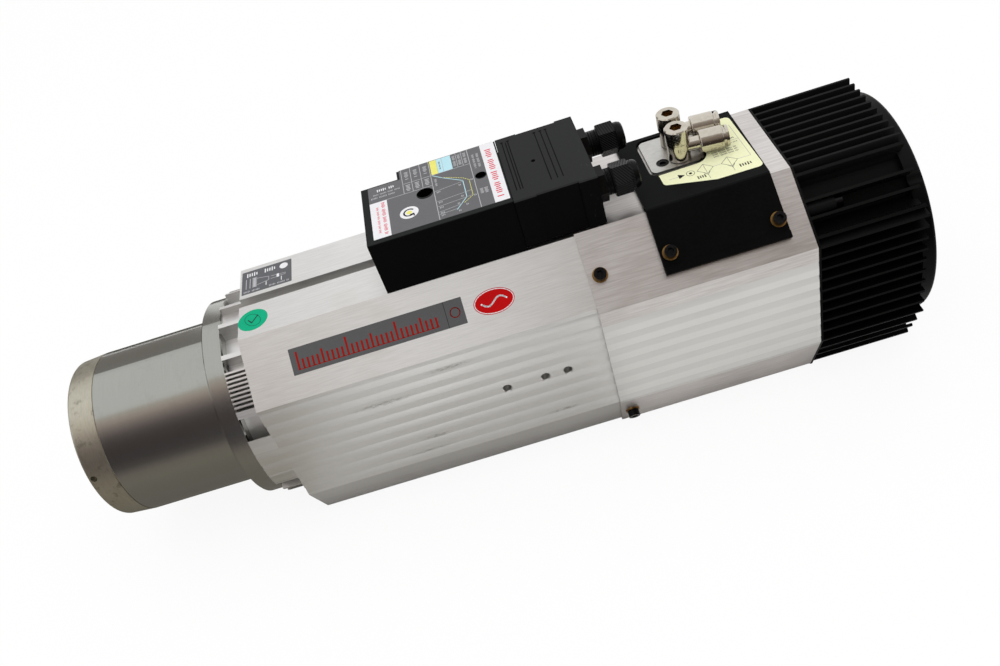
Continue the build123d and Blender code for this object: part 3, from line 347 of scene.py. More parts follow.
nodeFinishes = {
    "blackOxide": ("nose_cap_screws", "flange_screws", "shroud_screws", "saddle_screws", "base_screws",
                   "connector_screws", "cover_screws"),
    "yellowPassivated": ("shroud_washers", "saddle_washers"),
    "turnedAluminium": ("rear_bearing_housing", "release_cylinder", "cylinder_cover", "release_piston",
                        "fan_frame", "port_block", "rotor_end_rings"),
    "hardSteel": ("front_inner_rings", "front_outer_rings", "front_ball_cages", "rear_inner_rings",
                  "rear_outer_rings", "rear_ball_cages", "spindle_shaft", "drive_keys", "front_lock_nut",
                  "rear_lock_nut", "drawbar", "disc_springs", "gripper_finger_1", "gripper_finger_2",
                  "gripper_finger_3", "gripper_finger_4"),
    "sheetStack": ("stator_core", "rotor_core"),
    "copperWire": ("stator_windings",),
    "boxBlack": ("connector_base", "connector_insert", "fan_guard", "fan_motor", "fan_impeller"),
    "coverBlack": ("fan_cover",),
    "saddleBlack": ("saddle_plate",),
    "plateSilver": ("fitting_base",),
    "sealRubber": ("gland_seals", "piston_seal"),
}


def dress(material, *members):
    for member in members:
        mesh = nodes[member].data
        mesh.materials.clear()
        mesh.materials.append(material)


for finishName, members in nodeFinishes.items():
    dress(grained(finishName, finishes[finishName]), *members)


# brushed skins of the casing and the shroud; their ribbed sides are calmer, with painted shade on a band of each
# rib groove and a painted shadow line under each step

brushed = {"ribPitch": 0.010, "grooveShadeBand": 0.005, "stainStretch": (9.0, 26.0, 26.0), "stainEdge": (0.66, 0.08),
           "stainShare": 0.45, "sideBlur": 0.0004, "topBlur": 0.0003, "footBlur": 0.0001, "grooveShadeBlur": 0.0006,
           "lipShadowBlur": 0.0002, "sideSmooth": 0.8, "streaks": (), "smearStretch": (260.0, 1.0, 1500.0),
           "smearNoise": (5.0, 0.7), "smearRim": (0.62, 0.38), "smearEdge": (0.50, 0.10), "smearShare": 0.6}
casingSkin = {**brushed, "dark": (0.66, 0.65, 0.635), "light": (0.82, 0.815, 0.805), "stain": (0.58, 0.54, 0.49),
              "rough": 0.40, "spread": 0.16, "stretch": (70.0, 1700.0, 1700.0), "relief": 0.02, "patch": 16.0,
              "contrast": 0.5, "calm": (0.79, 0.79, 0.77), "calmShare": 0.75, "side": 0.0580, "ribTop": 0.0412,
              "ribs": 8, "line": (0.34, 0.27, 0.21), "lipShadowWidth": 0.00035, "lipShadowStrength": 0.45, "shade": 0.94,
              "smear": (0.22, 0.205, 0.18),
              "streaks": ((0.192, 0.0215, 0.026, 0.0030), (0.236, 0.0345, 0.018, 0.0022),
                          (0.214, -0.0175, 0.012, 0.0022), (0.206, -0.0285, 0.020, 0.0020),
                          (0.292, -0.0275, 0.014, 0.0018))}
shroudSkin = {**brushed, "dark": (0.50, 0.465, 0.445), "light": (0.80, 0.775, 0.76), "stain": (0.58, 0.50, 0.46),
              "rough": 0.40, "spread": 0.2, "stretch": (55.0, 1100.0, 1100.0), "relief": 0.03, "patch": 18.0,
              "contrast": 0.62, "calm": (0.76, 0.76, 0.74), "calmShare": 0.88, "side": 0.0690, "ribTop": 0.0330,
              "ribs": 7, "line": (0.30, 0.27, 0.24), "lipShadowWidth": 0.00030, "lipShadowStrength": 0.5, "shade": 0.90}


def brushedSkin(name, look):
    material, shader, place = newMaterial(name, {"Metallic": 1.0})
    fine, colour, rough = grain(place, look)
    stain = place.stretch(look["stainStretch"]).noise(1.0, plain["detail"]).above(*look["stainEdge"])
    colour = (stain * look["stainShare"]).mix(colour, look["stain"])
    height = place.along("Z")
    below = (look["ribTop"] - height) % look["ribPitch"]
    foot = look["ribTop"] - look["ribs"] * look["ribPitch"]
    side = abs(place.along("Y")).above(look["side"], look["sideBlur"])
    side = side * (1 - height.above(look["ribTop"], look["topBlur"]))
    ribbed = side * height.above(foot, look["footBlur"])
    colour = (side * look["calmShare"]).mix(colour, look["calm"])
    # painted shade: a band of each rib groove is darkened as if in shade
    step = ribbed * (1 - below.above(look["grooveShadeBand"], look["grooveShadeBlur"]))
    colour = (step * (1 - look["shade"])).mix(colour, (0.0, 0.0, 0.0))
    # painted shadow: a fine dark line under the lip of each step
    edge = ribbed * (1 - below.above(look["lipShadowWidth"], look["lipShadowBlur"])) * look["lipShadowStrength"]
    colour = edge.mix(colour, look["line"])
    for x, z, length, high in look["streaks"]:
        # a long dark smear, ragged at its rim
        reach = place.stretch((1.0 / length, 0.0, 1.0 / high)).reach((x / length, 0.0, z / high))
        ragged = place.stretch(look["smearStretch"]).noise(1.0, *look["smearNoise"]).above(*look["smearEdge"])
        smear = (1 - reach.above(*look["smearRim"])) * ragged * side
        colour = (smear * look["smearShare"]).mix(colour, look["smear"])
    finishWith(shader, colour, rough, fine * (1 - side * look["sideSmooth"]), look["relief"])
    return material


dress(brushedSkin("casingSkin", casingSkin), "motor_casing")
dress(brushedSkin("shroudSkin", shroudSkin), "rear_shroud")


# ground barrel and satin cap of the nose

stained = {"smudgeNoise": (95.0, 6.0, 0.7), "smudgeEdge": (0.60, 0.07), "smudgeRough": 0.2,
           "fleckNoise": (420.0, 3.0, 0.6), "fleckEdge": (0.70, 0.03), "fleckRough": 0.3}
noseSteel = {**stained, "dark": (0.370, 0.373, 0.350), "light": (0.405, 0.408, 0.382), "rough": 0.16,
             "spread": 0.04, "stretch": (2600.0, 40.0, 40.0), "relief": 0.0012, "patch": 24.0, "stains": 0.12,
             "flecks": 0.12, "smudge": (0.28, 0.275, 0.265), "fleck": (0.46, 0.44, 0.40)}
capSteel = {**stained, "dark": (0.46, 0.435, 0.355), "light": (0.60, 0.575, 0.485), "rough": 0.40,
            "spread": 0.16, "stretch": (900.0, 240.0, 240.0), "relief": 0.006, "patch": 34.0, "stains": 0.5,
            "flecks": 0.8, "smudge": (0.17, 0.155, 0.12), "fleck": (0.66, 0.63, 0.54)}


def stainedSteel(name, look):
    material, shader, place = newMaterial(name, {"Metallic": 1.0})
    fine, colour, rough = grain(place, look)
    smudge = place.noise(*look["smudgeNoise"]).above(*look["smudgeEdge"]) * look["stains"]
    fleck = place.noise(*look["fleckNoise"]).above(*look["fleckEdge"]) * look["flecks"]
    colour = fleck.mix(smudge.mix(colour, look["smudge"]), look["fleck"])
    rough = rough + smudge * look["smudgeRough"] + fleck * look["fleckRough"]
    finishWith(shader, colour, rough, fine, look["relief"])
    return material


dress(stainedSteel("noseSteel", noseSteel), "front_bearing_housing")
dress(stainedSteel("capSteel", capSteel), "nose_cap")


# moulded hood with grip grooves that start in small pits, both darkened with painted shade; its top face made
# lighter, partly dust and partly painted light; and scuffs and dust on its collar

hoodBlack = {"dark": (0.0012, 0.0012, 0.0012), "light": (0.003, 0.003, 0.003), "rough": 0.46, "spread": 0.12,
             "stretch": (1500.0, 1500.0, 1500.0), "relief": 0.35, "gloss": 0.03, "fineHeight": 0.05,
             "dustAndLightTone": (0.024, 0.025, 0.0245), "dustAndLightFrom": (0.1058, 0.0001),
             "groove": (0.001, 0.001, 0.001), "grooveShare": 0.9, "grooveHalf": 0.00028, "grooveBlur": 0.0001,
             "grooves": (0.3027, 0.3048, 0.3063, 0.3226, 0.3262, 0.3294), "span": (-0.0235, 0.0265, 0.0003),
             "pits": (0.3027, 0.3063, 0.3226, 0.3262, 0.3294), "pitY": 0.0272, "pitZ": 0.1065,
             "pitRadius": 0.0009, "pitBlur": 0.0002, "top": (0.1060, 0.0001),
             "scuff": (0.07, 0.07, 0.072), "scuffShare": 0.6, "scuffRough": 0.2, "collar": (0.3381, 0.0003),
             "scuffStretch": (700.0, 90.0, 300.0), "scuffNoise": (5.0, 0.7), "scuffEdge": (0.66, 0.05)}


def groovedHood(name, look):
    material, shader, place = newMaterial(name, {"Specular IOR Level": look["gloss"]})
    fine, colour, rough = grain(place, look)
    # top face lighter: partly dust, partly painted light
    colour = dustAndTopLight(place, colour, look)
    x, y, z = place.along("X"), place.along("Y"), place.along("Z")
    cutAndShade = 0.0
    for middle in look["grooves"]:
        cutAndShade = cutAndShade + (1 - abs(x - middle).above(look["grooveHalf"], look["grooveBlur"]))
    cutAndShade = cutAndShade * y.within(*look["span"])
    for middle in look["pits"]:
        reach = place.reach((middle, look["pitY"], look["pitZ"]))
        cutAndShade = cutAndShade + (1 - reach.above(look["pitRadius"], look["pitBlur"]))
    cutAndShade = cutAndShade * z.above(*look["top"])
    cutAndShade = cutAndShade.sum("MINIMUM", cutAndShade, 1.0)
    scuff = place.stretch(look["scuffStretch"]).noise(1.0, *look["scuffNoise"]).above(*look["scuffEdge"])
    scuff = scuff * x.above(*look["collar"])
    # painted shade: the grooves and pits are darkened as if shade lay in them
    colour = (cutAndShade * look["grooveShare"]).mix(colour, look["groove"])
    colour = (scuff * look["scuffShare"]).mix(colour, look["scuff"])
    rough = rough + scuff * look["scuffRough"]
    finishWith(shader, colour, rough, fine * look["fineHeight"] - cutAndShade, look["relief"])
    return material


dress(groovedHood("hoodBlack", hoodBlack), "connector_hood")


# threaded gland bodies and gland nuts with a fine cross grip

glandBlack = {"dark": (0.0015, 0.0015, 0.0015), "light": (0.004, 0.004, 0.004), "rough": 0.26, "spread": 0.10,
              "stretch": (900.0, 900.0, 900.0), "relief": 0.35, "gloss": 0.12, "fineHeight": 0.03,
              "threadFrom": (0.3512, 0.0001), "threadPitch": 0.0015, "threadHeight": 0.5}
nutBlack = {"dark": (0.0015, 0.0015, 0.0015), "light": (0.004, 0.004, 0.004), "rough": 0.24, "spread": 0.10,
            "stretch": (900.0, 900.0, 900.0), "relief": 0.06, "gloss": 0.12, "fineHeight": 0.3,
            "linePitch": 0.0011, "lineSlant": 0.7, "lineSpan": (0.3560, 0.3672, 0.0004), "lineEdge": (0.6, 0.3),
            "line": (0.03, 0.03, 0.031), "lineShare": 0.4}


def threadedGland(name, look):
    material, shader, place = newMaterial(name, {"Specular IOR Level": look["gloss"]})
    fine, colour, rough = grain(place, look)
    along = place.along("X")
    thread = along.wave(look["threadPitch"]) * look["threadHeight"] * along.above(*look["threadFrom"])
    finishWith(shader, colour, rough, thread + fine * look["fineHeight"], look["relief"])
    return material


def grippedNut(name, look):
    material, shader, place = newMaterial(name, {"Specular IOR Level": look["gloss"]})
    fine, colour, rough = grain(place, look)
    along = place.along("X")
    slant = along * look["lineSlant"] + place.along("Z") * look["lineSlant"]
    line = slant.wave(look["linePitch"]) * along.within(*look["lineSpan"])
    colour = (line.above(*look["lineEdge"]) * look["lineShare"]).mix(colour, look["line"])
    finishWith(shader, colour, rough, line + fine * look["fineHeight"], look["relief"])
    return material


dress(threadedGland("glandBlack", glandBlack), "gland_bodies")
dress(grippedNut("nutBlack", nutBlack), "gland_nuts")


# warm nickel of the fittings, browner in the hexagon sockets

fittingNickel = {"dark": (0.50, 0.455, 0.385), "light": (0.66, 0.62, 0.55), "rough": 0.13, "spread": 0.07,
                 "stretch": (300.0, 300.0, 1600.0), "relief": 0.003, "patch": 60.0,
                 "speck": (0.26, 0.18, 0.12), "speckNoise": (700.0, 4.0, 0.6), "speckEdge": (0.68, 0.04),
                 "speckShare": 0.5, "speckRough": 0.2, "socket": (0.40, 0.29, 0.14), "socketShare": 0.8,
                 "socketRadius": 0.0037, "socketFloor": 0.008, "socketLip": 0.0002, "socketBlur": 0.0001}


def platedNickel(name, look, stem=None):
    material, shader, place = newMaterial(name, {"Metallic": 1.0})
    fine, colour, rough = grain(place, look)
    speck = place.noise(*look["speckNoise"]).above(*look["speckEdge"])
    colour = (speck * look["speckShare"]).mix(colour, look["speck"])
    if stem:
        low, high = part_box(stem)
        blur = look["socketBlur"]
        across = place.stretch((1.0, 1.0, 0.0)).reach(((low[0] + high[0]) / 2, (low[1] + high[1]) / 2, 0.0))
        deep = place.along("Z").within(high[2] - look["socketFloor"], high[2] - look["socketLip"], blur)
        socket = (1 - across.above(look["socketRadius"], blur)) * deep
        colour = (socket * look["socketShare"]).mix(colour, look["socket"])
    finishWith(shader, colour, rough + speck * look["speckRough"], fine, look["relief"])
    return material


dress(platedNickel("elbowNickel", fittingNickel), "elbow_1", "elbow_2", "release_collar_1", "release_collar_2")
for stemName in ("fitting_stem_1", "fitting_stem_2"):
    dress(platedNickel(stemName + "_nickel", fittingNickel, stemName), stemName)
print("stage: finishes")


# printed foils: a thin sheet each, with bars, strokes, discs and small print laid on it, in millimetres

inks = {
    "plateGrey": (0.140, 0.140, 0.146), "darkPlate": (0.092, 0.092, 0.094), "labelGrey": (0.125, 0.126, 0.135),
    "white": (0.80, 0.79, 0.81), "paleGrey": (0.46, 0.46, 0.48), "red": (0.68, 0.045, 0.085),
    "signalRed": (0.48, 0.001, 0.002), "deepRed": (0.27, 0.008, 0.004), "yellow": (0.80, 0.76, 0.19),
    "skyBlue": (0.48, 0.74, 0.82), "cream": (0.86, 0.88, 0.56), "green": (0.004, 0.39, 0.205),
    "black": (0.014, 0.014, 0.015),
}
inkMake = {"metal": 0.0, "darker": 0.92, "lighter": 1.06, "lightest": 0.9, "rough": 0.42, "spread": 0.10,
           "stretch": (800.0, 800.0, 800.0), "relief": 0.004, "gloss": 0.06, "patch": 40.0}
foilMake = {"foil": 0.02, "lift": 0.014, "layer": 0.003, "thick": 0.02, "sides": 48, "bend": 6,
            "strokeOver": 0.8, "dashShare": 0.55, "ringStep": 10, "letterPitch": 0.62, "letterWidth": 0.5,
            "letters": (1.0, 0.75, 0.75, 1.0, 0.6, 0.0, 0.75, 1.0, 0.6, 0.75, 1.0, 0.75, 0.0)}
flank = {"place": (0.0, -0.0327, 0.0715), "fall": 0.628, "run": 0.778}
flankTurn = Matrix.Rotation(math.atan2(flank["fall"], flank["run"]), 4, "X")
faces = {
    "box": Matrix.Translation((0.0, 0.0, 0.1065)),
    "saddle": Matrix.Translation((0.0, 0.0, 0.07585)),
    "top": Matrix.Translation((0.0, 0.0, 0.0715)),
    "flank": Matrix.Translation(flank["place"]) @ flankTurn,
}


def inkMaterial(name, colour):
    dark = [value * inkMake["darker"] for value in colour]
    light = [min(value * inkMake["lighter"], inkMake["lightest"]) for value in colour]
    return grained("print_" + name, {**inkMake, "dark": dark, "light": light})


class Foil:
    # one printed foil while it is being made; each new ink lies a little higher
    def __init__(self, name, face):
        self.name, self.face = name, face
        self.shape = bmesh.new()
        self.inks = []

    def tint(self, verts, ink):
        if ink not in self.inks:
            self.inks.append(ink)
        for touched in {touched for vert in verts for touched in vert.link_faces}:
            touched.material_index = self.inks.index(ink)

    def sheet(self, ink, outline, rounds=(), holes=(), lift=0.0, thick=foilMake["foil"]):
        # a flat outline with some corners rounded and holes left open, then given its thickness
        flat = bmesh.new()
        corners = [flat.verts.new((x, y, lift)) for x, y in outline]
        flat.faces.new(corners)
        for radius, picks in rounds:
            bmesh.ops.bevel(flat, geom=[corners[pick] for pick in picks], offset=radius, profile=0.5,
                            segments=foilMake["bend"], affect="VERTICES", material=-1)
        bmesh.ops.delete(flat, geom=flat.faces[:], context="FACES_ONLY")
        for x, y, radius in holes:
            bmesh.ops.create_circle(flat, segments=foilMake["sides"], radius=radius,
                                    matrix=Matrix.Translation((x, y, lift)))
        bmesh.ops.triangle_fill(flat, use_beauty=True, edges=flat.edges[:], normal=(0.0, 0.0, 1.0))
        raised = bmesh.ops.extrude_face_region(flat, geom=flat.faces[:])["geom"]
        top = [item for item in raised if isinstance(item, bmesh.types.BMVert)]
        bmesh.ops.translate(flat, verts=top, vec=(0.0, 0.0, thick))
        bmesh.ops.recalc_face_normals(flat, faces=flat.faces[:])
        joined = bpy.data.meshes.new("foilPart")
        flat.to_mesh(joined)
        flat.free()
        before = len(self.shape.verts)
        self.shape.from_mesh(joined)
        bpy.data.meshes.remove(joined)
        self.shape.verts.ensure_lookup_table()
        self.tint(self.shape.verts[before:], ink)

    def plate(self, ink, low, high, radius):
        outline = (low, (high[0], low[1]), high, (low[0], high[1]))
        self.sheet(ink, outline, [(radius, (0, 1, 2, 3))])

    def base(self, ink, centre, across, high=None):
        # a round foil, which lies on its face
        self.disc(ink, centre, across, high)
        self.shape.transform(Matrix.Translation((0.0, 0.0, -foilMake["lift"])))

    def patch(self, ink, *outline):
        self.sheet(ink, outline, (), (), foilMake["lift"], foilMake["thick"])

    def solid(self, ink, matrix, sides=4):
        if ink not in self.inks:
            self.inks.append(ink)
        middle = foilMake["lift"] + foilMake["layer"] * self.inks.index(ink)
        raised = Matrix.Translation((0.0, 0.0, middle)) @ matrix
        if sides == 4:
            made = bmesh.ops.create_cube(self.shape, size=1.0, matrix=raised)
        else:
            made = bmesh.ops.create_cone(self.shape, cap_ends=True, segments=sides, radius1=0.5, radius2=0.5,
                                         depth=1.0, matrix=raised)
        self.tint(made["verts"], ink)

    def block(self, ink, low, high):
        size = Matrix.Diagonal((high[0] - low[0], high[1] - low[1], foilMake["thick"], 1.0))
        self.solid(ink, Matrix.Translation(((low[0] + high[0]) / 2, (low[1] + high[1]) / 2, 0.0)) @ size)

    def stroke(self, ink, width, *points):
        for start, end in zip(points[:-1], points[1:]):
            run = Vector(end) - Vector(start)
            place = Matrix.Translation(((start[0] + end[0]) / 2, (start[1] + end[1]) / 2, 0.0))
            turn = Matrix.Rotation(math.atan2(run.y, run.x), 4, "Z")
            long = run.length + width * foilMake["strokeOver"]
            self.solid(ink, place @ turn @ Matrix.Diagonal((long, width, foilMake["thick"], 1.0)))

    def dashes(self, ink, width, pitch, *points):
        for start, end in zip(points[:-1], points[1:]):
            run = Vector(end) - Vector(start)
            count = max(int(run.length / pitch), 1)
            for dash in range(count):
                low = Vector(start) + run * (dash / count)
                high = Vector(start) + run * ((dash + foilMake["dashShare"]) / count)
                self.stroke(ink, width, tuple(low), tuple(high))

    def disc(self, ink, centre, across, high=None):
        size = Matrix.Diagonal((across, high or across, foilMake["thick"], 1.0))
        self.solid(ink, Matrix.Translation((*centre, 0.0)) @ size, foilMake["sides"])

    def ring(self, ink, width, centre, across, high, lean=0.0, start=0, end=360):
        points = []
        for angle in range(start, end + 1, foilMake["ringStep"]):
            x, y = across / 2 * math.cos(math.radians(angle)), high / 2 * math.sin(math.radians(angle))
            turned = Matrix.Rotation(math.radians(lean), 2) @ Vector((x, y))
            points.append((centre[0] + turned.x, centre[1] + turned.y))
        self.stroke(ink, width, *points)

    def smallPrint(self, ink, start, end, height, pitch=None):
        # upright bars in groups that read as a line of small print
        run = Vector(end) - Vector(start)
        pitch = pitch or height * foilMake["letterPitch"]
        up = Vector((-run.y, run.x)).normalized() * height / 2
        for step in range(max(int(run.length / pitch), 1)):
            tall = foilMake["letters"][step % len(foilMake["letters"])]
            if tall:
                spot = Vector(start) + run.normalized() * pitch * (step + 0.5)
                ends = tuple(spot - up * tall), tuple(spot + up * tall)
                self.stroke(ink, pitch * foilMake["letterWidth"], *ends)

    def draw(self, marks, origin=(0.0, 0.0)):
        # rows of a tool, its ink, its sizes and its points, the points measured from the origin
        for tool, ink, *rest in marks:
            for place, item in enumerate(rest):
                if isinstance(item, tuple):
                    rest[place] = (item[0] + origin[0], item[1] + origin[1])
            getattr(self, tool)(ink, *rest)

    def finish(self):
        self.shape.transform(faces[self.face] @ Matrix.Scale(mm, 4))
        mesh = bpy.data.meshes.new(self.name)
        self.shape.to_mesh(mesh)
        self.shape.free()
        for ink in self.inks:
            mesh.materials.append(inkMaterials[ink])
        made = bpy.data.objects.new(self.name, mesh)
        bpy.context.scene.collection.objects.link(made)
        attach(made, "housing")


inkMaterials = {name: inkMaterial(name, colour) for name, colour in inks.items()}


# connector label: a table, a load diagram and two pale strips round the two screw holes

connectorLabel = {
    "low": (219.5, -28.3), "high": (298.1, 32.1), "step": (239.4, 22.8), "rounds": ((0.9, (0, 1, 2, 5)),),
    "holes": ((252.4, 1.0, 5.1), (285.9, 1.7, 3.4)), "inset": 0.2,
    "areas": (("block", "white", (219.6, -28.2), (229.9, 6.6)),
              ("block", "white", (289.5, -28.2), (298.0, 32.0)),
              ("block", "yellow", (258.4, 16.9), (262.4, 31.7)),
              ("block", "skyBlue", (262.5, 16.9), (271.3, 31.7))),
    "frame": (257.7, 281.6), "frameWidth": 0.4, "shelf": 16.7, "ledge": 6.7,
    "tableX": (240.6, 246.1, 252.0), "tableWidth": 0.35, "rangeX": (274.5, 277.7), "rangeWidth": 0.3,
    "tableText": (("smallPrint", "paleGrey", (2.9, 28.6), (2.9, 19.6), 1.9),
                  ("smallPrint", "paleGrey", (2.9, 15.2), (2.9, 8.2), 2.2)),
    "rangeTextX": (272.9, 276.1, 279.5),
    "rangeText": (("smallPrint", "paleGrey", (0.0, 29.8), (0.0, 18.6), 1.5),),
    "levels": ((-0.4, 275.2, 1.4), (-10.8, 278.4, -9.4), (-15.8, 278.4, -14.4), (-21.1, 271.3, -19.7),
               (-23.3, 268.4, -22.9)),
    "levelFrom": 258.4, "levelWidth": 0.28,
    "levelText": (("smallPrint", "paleGrey", (259.0, -1.5), (261.4, -1.3), 1.3, 0.8),),
    "values": ((272.9, -1.2), (280.2, 0.6), (272.9, -12.6), (280.1, -15.1), (270.0, -18.4), (274.6, -21.4),
               (269.8, -25.2)),
    "valueText": (("smallPrint", "paleGrey", (-0.8, 0.0), (1.0, 0.0), 1.3, 0.8),),
    "curves": (("stroke", "paleGrey", 0.3, (265.8, 17.2), (265.8, 31.4)),
               ("smallPrint", "black", (264.1, 28.6), (264.1, 20.0), 0.8),
               ("stroke", "skyBlue", 0.45, (258.8, 16.0), (264.5, 10.6), (275.2, 2.1), (275.2, -14.4),
                (271.3, -19.7), (268.4, -23.6)),
               ("dashes", "yellow", 0.35, 1.5, (264.9, 11.0), (275.6, 4.6), (278.8, 1.0), (278.8, -14.7),
                (272.7, -19.7))),
    "lines": (("smallPrint", "white", (224.6, 18.1), (236.4, 18.1), 2.1, 1.2),
              ("smallPrint", "paleGrey", (222.2, 14.3), (238.6, 14.3), 1.1),
              ("smallPrint", "paleGrey", (220.8, 11.3), (236.2, 11.3), 1.3),
              ("smallPrint", "paleGrey", (284.2, 25.0), (284.2, 9.8), 1.2),
              ("smallPrint", "paleGrey", (284.2, -10.8), (284.2, -18.0), 1.7),
              ("smallPrint", "paleGrey", (286.8, 25.0), (286.8, 9.8), 1.3),
              ("smallPrint", "paleGrey", (286.8, -10.8), (286.8, -18.0), 1.8),
              ("smallPrint", "paleGrey", (259.9, 12.0), (259.9, 4.0), 1.2),
              ("smallPrint", "red", (223.8, 1.7), (223.8, -24.0), 1.1),
              ("smallPrint", "red", (227.3, 5.3), (227.3, -26.6), 1.8),
              ("smallPrint", "red", (293.5, 26.0), (293.5, -25.4), 3.0)),
    "arrowAt": (241.6, -12.6),
    "arrow": (("disc", "white", (0.0, 0.0), 11.0), ("disc", "yellow", (0.0, 0.0), 3.3),
              ("ring", "black", 0.9, (0.0, 0.0), 6.16, 6.16, 0.0, 40, 320),
              ("stroke", "black", 0.8, (0.42, -2.18), (2.42, -1.98), (2.62, -3.98))),
}


def addConnectorLabel(look):
    foil = Foil("connectorLabel", "box")
    (x0, y0), (x1, y1), (sx, sy) = look["low"], look["high"], look["step"]
    left, right = look["frame"]
    foot, head = y0 + look["inset"], y1 - look["inset"]
    shelf, ledge, width = look["shelf"], look["ledge"], look["tableWidth"]
    outline = ((x0, y0), (x1, y0), (x1, y1), (sx, y1), (sx, sy), (x0, sy))
    foil.sheet("plateGrey", outline, look["rounds"], look["holes"])
    foil.draw(look["areas"])
    for x in look["frame"]:
        foil.stroke("paleGrey", look["frameWidth"], (x, foot), (x, head))
    foil.stroke("paleGrey", width, (look["tableX"][0], shelf), (right, shelf))
    foil.stroke("paleGrey", width, (x0 + look["inset"], ledge), (left, ledge))
    for x in look["tableX"]:
        foil.stroke("paleGrey", width, (x, ledge), (x, head))
        foil.draw(look["tableText"], (x, 0.0))
    for x in look["rangeX"]:
        foil.stroke("paleGrey", look["rangeWidth"], (x, shelf), (x, head))
    for x in look["rangeTextX"]:
        foil.draw(look["rangeText"], (x, 0.0))
    foil.draw(look["curves"])
    for low, x, high in look["levels"]:
        foil.stroke("paleGrey", look["levelWidth"], (look["levelFrom"], low), (x, high))
        foil.draw(look["levelText"], (0.0, low))
    for place in look["values"]:
        foil.draw(look["valueText"], place)
    foil.draw(look["lines"])
    foil.draw(look["arrow"], look["arrowAt"])
    foil.finish()


addConnectorLabel(connectorLabel)


# air diagram on the saddle: supply, two filters and the line back, on a cut foil

airSticker = {
    "outline": ((384.0, -7.8), (384.2, -18.2), (412.7, -27.1), (439.8, -27.3), (438.2, 28.6), (416.0, 28.6),
                (415.0, -7.3)),
    "rounds": ((1.8, (1,)), (3.0, (3, 4)), (8.0, (6,))),
    "supply": (("patch", "black", (393.8, -16.7), (397.6, -14.6), (393.8, -12.5)),
               ("stroke", "paleGrey", 0.3, (388.4, -14.6), (393.6, -14.6)),
               ("ring", "labelGrey", 0.3, (400.9, -14.6), 4.7, 4.7), ("disc", "black", (400.9, -14.6), 1.8)),
    "filtersAt": ((409.6, -14.6), (424.0, -14.6)),
    "filter": (("stroke", "labelGrey", 0.28, (-4.8, 0.0), (0.0, 4.8), (4.8, 0.0), (0.0, -4.8), (-4.8, 0.0)),
               ("dashes", "labelGrey", 0.28, 1.1, (0.0, 4.8), (0.0, -9.8)),
               ("stroke", "labelGrey", 0.28, (-1.9, -3.2), (0.0, -6.0), (1.9, -3.2))),
    "lines": (("stroke", "paleGrey", 0.3, (414.6, -14.6), (419.0, -14.6)),
              ("stroke", "paleGrey", 0.3, (429.0, -14.6), (436.6, -14.6), (435.6, 19.7)),
              ("smallPrint", "black", (402.9, -20.7), (408.4, -20.7), 2.4, 1.35),
              ("smallPrint", "black", (427.4, -21.2), (437.0, -21.2), 2.3, 1.5),
              ("smallPrint", "labelGrey", (417.4, -2.4), (433.0, -2.2), 1.1),
              ("smallPrint", "labelGrey", (417.4, -4.5), (433.0, -4.3), 1.1),
              ("smallPrint", "labelGrey", (417.4, -6.6), (433.0, -6.4), 1.1),
              ("stroke", "paleGrey", 0.3, (428.0, 4.3), (436.0, 4.6)),
              ("smallPrint", "labelGrey", (428.6, 2.2), (435.0, 2.3), 0.9),
              ("smallPrint", "labelGrey", (431.4, 6.8), (434.2, 6.8), 1.4, 0.9),
              ("smallPrint", "labelGrey", (430.6, 21.3), (434.6, 21.3), 1.0),
              ("smallPrint", "labelGrey", (430.6, 18.4), (434.6, 18.4), 1.0),
              ("smallPrint", "labelGrey", (430.6, 13.2), (434.6, 13.2), 1.0)),
}


def addAirSticker(look):
    foil = Foil("airSticker", "saddle")
    foil.sheet("cream", look["outline"], look["rounds"])
    foil.draw(look["supply"])
    for place in look["filtersAt"]:
        foil.draw(look["filter"], place)
    foil.draw(look["lines"])
    foil.finish()


addAirSticker(airSticker)


# taper label near the nose: outline of a tool holder in a plain drawing

taperLabel = {
    "low": (125.6, 7.2), "high": (157.7, 29.4), "corner": 0.5,
    "title": (("smallPrint", "white", (128.4, 25.3), (137.4, 25.3), 3.2, 1.5),
              ("smallPrint", "white", (139.9, 25.3), (147.4, 25.3), 3.2, 1.5),
              ("disc", "white", (152.6, 24.8), 5.4)),
    "axis": (0.0, 16.9),
    "holder": (("stroke", "paleGrey", 0.45, (128.4, -4.6), (128.4, 4.6)),
               ("stroke", "paleGrey", 0.45, (130.9, -4.6), (130.9, 4.6)),
               ("stroke", "paleGrey", 0.45, (132.6, -4.6), (132.6, 4.6)),
               ("stroke", "paleGrey", 0.45, (135.1, -4.6), (135.1, 4.6)),
               ("block", "paleGrey", (132.6, -4.6), (135.1, 4.6)),
               ("stroke", "paleGrey", 0.4, (135.1, 3.3), (143.0, 1.7), (143.0, -1.7), (135.1, -3.3)),
               ("stroke", "paleGrey", 0.4, (144.4, 1.2), (148.0, 1.2), (148.0, -1.2), (144.4, -1.2)),
               ("block", "white", (148.0, -1.6), (149.6, 1.6)),
               ("stroke", "paleGrey", 0.4, (149.6, 0.7), (153.6, 0.7), (153.6, -0.7), (149.6, -0.7))),
    "notes": (("stroke", "white", 0.5, (141.3, 14.0), (141.3, 11.1)),
              ("stroke", "white", 0.5, (151.1, 14.8), (151.1, 11.4)),
              ("smallPrint", "paleGrey", (126.8, 9.4), (138.6, 9.4), 1.4),
              ("smallPrint", "paleGrey", (143.0, 9.4), (156.4, 9.4), 1.4)),
}


def addTaperLabel(look):
    foil = Foil("taperLabel", "top")
    foil.plate("labelGrey", look["low"], look["high"], look["corner"])
    foil.draw(look["title"])
    foil.draw(look["holder"], look["axis"])
    foil.draw(look["notes"])
    foil.finish()


addTaperLabel(taperLabel)


# green test dot on the top, with an inked loop and tick

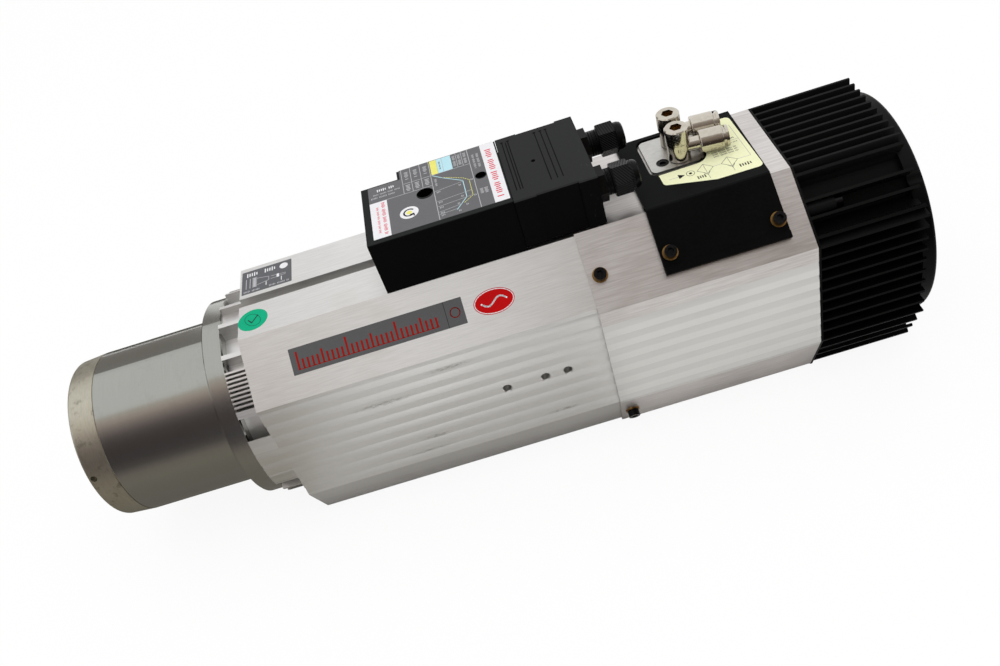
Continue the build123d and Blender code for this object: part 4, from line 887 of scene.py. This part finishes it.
testDot = {"centre": (133.4, -18.5), "across": 18.4,
           "marks": (("ring", "black", 0.28, (-0.1, 0.0), 12.2, 8.4, -55.0),
                     ("stroke", "black", 0.7, (-2.8, 0.6), (-0.6, -2.4), (3.0, 3.2)))}


def addTestDot(look):
    foil = Foil("testDot", "top")
    foil.base("green", look["centre"], look["across"])
    foil.draw(look["marks"], look["centre"])
    foil.finish()


addTestDot(testDot)


# rating plate and red oval on the sloping face

ratingPlate = {"low": (151.1, -29.6), "high": (254.7, -13.9), "corner": 0.3,
               "marks": (("stroke", "black", 0.3, (243.9, -29.4), (243.9, -14.1)),
                         ("stroke", "deepRed", 0.5, (154.6, -26.95), (238.4, -26.95)),
                         ("ring", "deepRed", 0.6, (249.3, -21.75), 5.6, 5.6)),
               "ticks": 29, "tickFrom": (155.2, -26.65), "tickPitch": 2.95, "tickWidth": 1.25,
               "tickHeights": (9.8, 5.0, 5.0, 5.0, 5.0, 7.4, 5.0, 5.0, 5.0, 5.0)}
redOval = {"centre": (272.3, -22.0), "across": 24.0, "high": 14.8, "ring": 0.45, "ringIn": 1.3, "waveWidth": 0.9,
           "waveReach": 7.4, "waveRise": 2.1, "waveSteps": 12}


def addRatingPlate(look):
    foil = Foil("ratingPlate", "flank")
    foil.plate("darkPlate", look["low"], look["high"], look["corner"])
    foil.draw(look["marks"])
    start, foot = look["tickFrom"]
    for tick in range(look["ticks"]):
        x = start + tick * look["tickPitch"]
        tall = look["tickHeights"][tick % len(look["tickHeights"])]
        foil.stroke("deepRed", look["tickWidth"], (x, foot), (x, foot + tall))
    foil.finish()


def addRedOval(look):
    foil = Foil("redOval", "flank")
    x, y = look["centre"]
    steps = look["waveSteps"]
    foil.base("signalRed", look["centre"], look["across"], look["high"])
    across, high = look["across"] - look["ringIn"], look["high"] - look["ringIn"]
    foil.ring("white", look["ring"], look["centre"], across, high)
    turns = [step / steps for step in range(-steps, steps + 1)]
    reach, rise = look["waveReach"], look["waveRise"]
    points = [(x + reach * turn, y + rise * math.sin(math.pi * turn)) for turn in turns]
    foil.stroke("white", look["waveWidth"], *points)
    foil.finish()


addRatingPlate(ratingPlate)
addRedOval(redOval)
print("stage: printed foils")
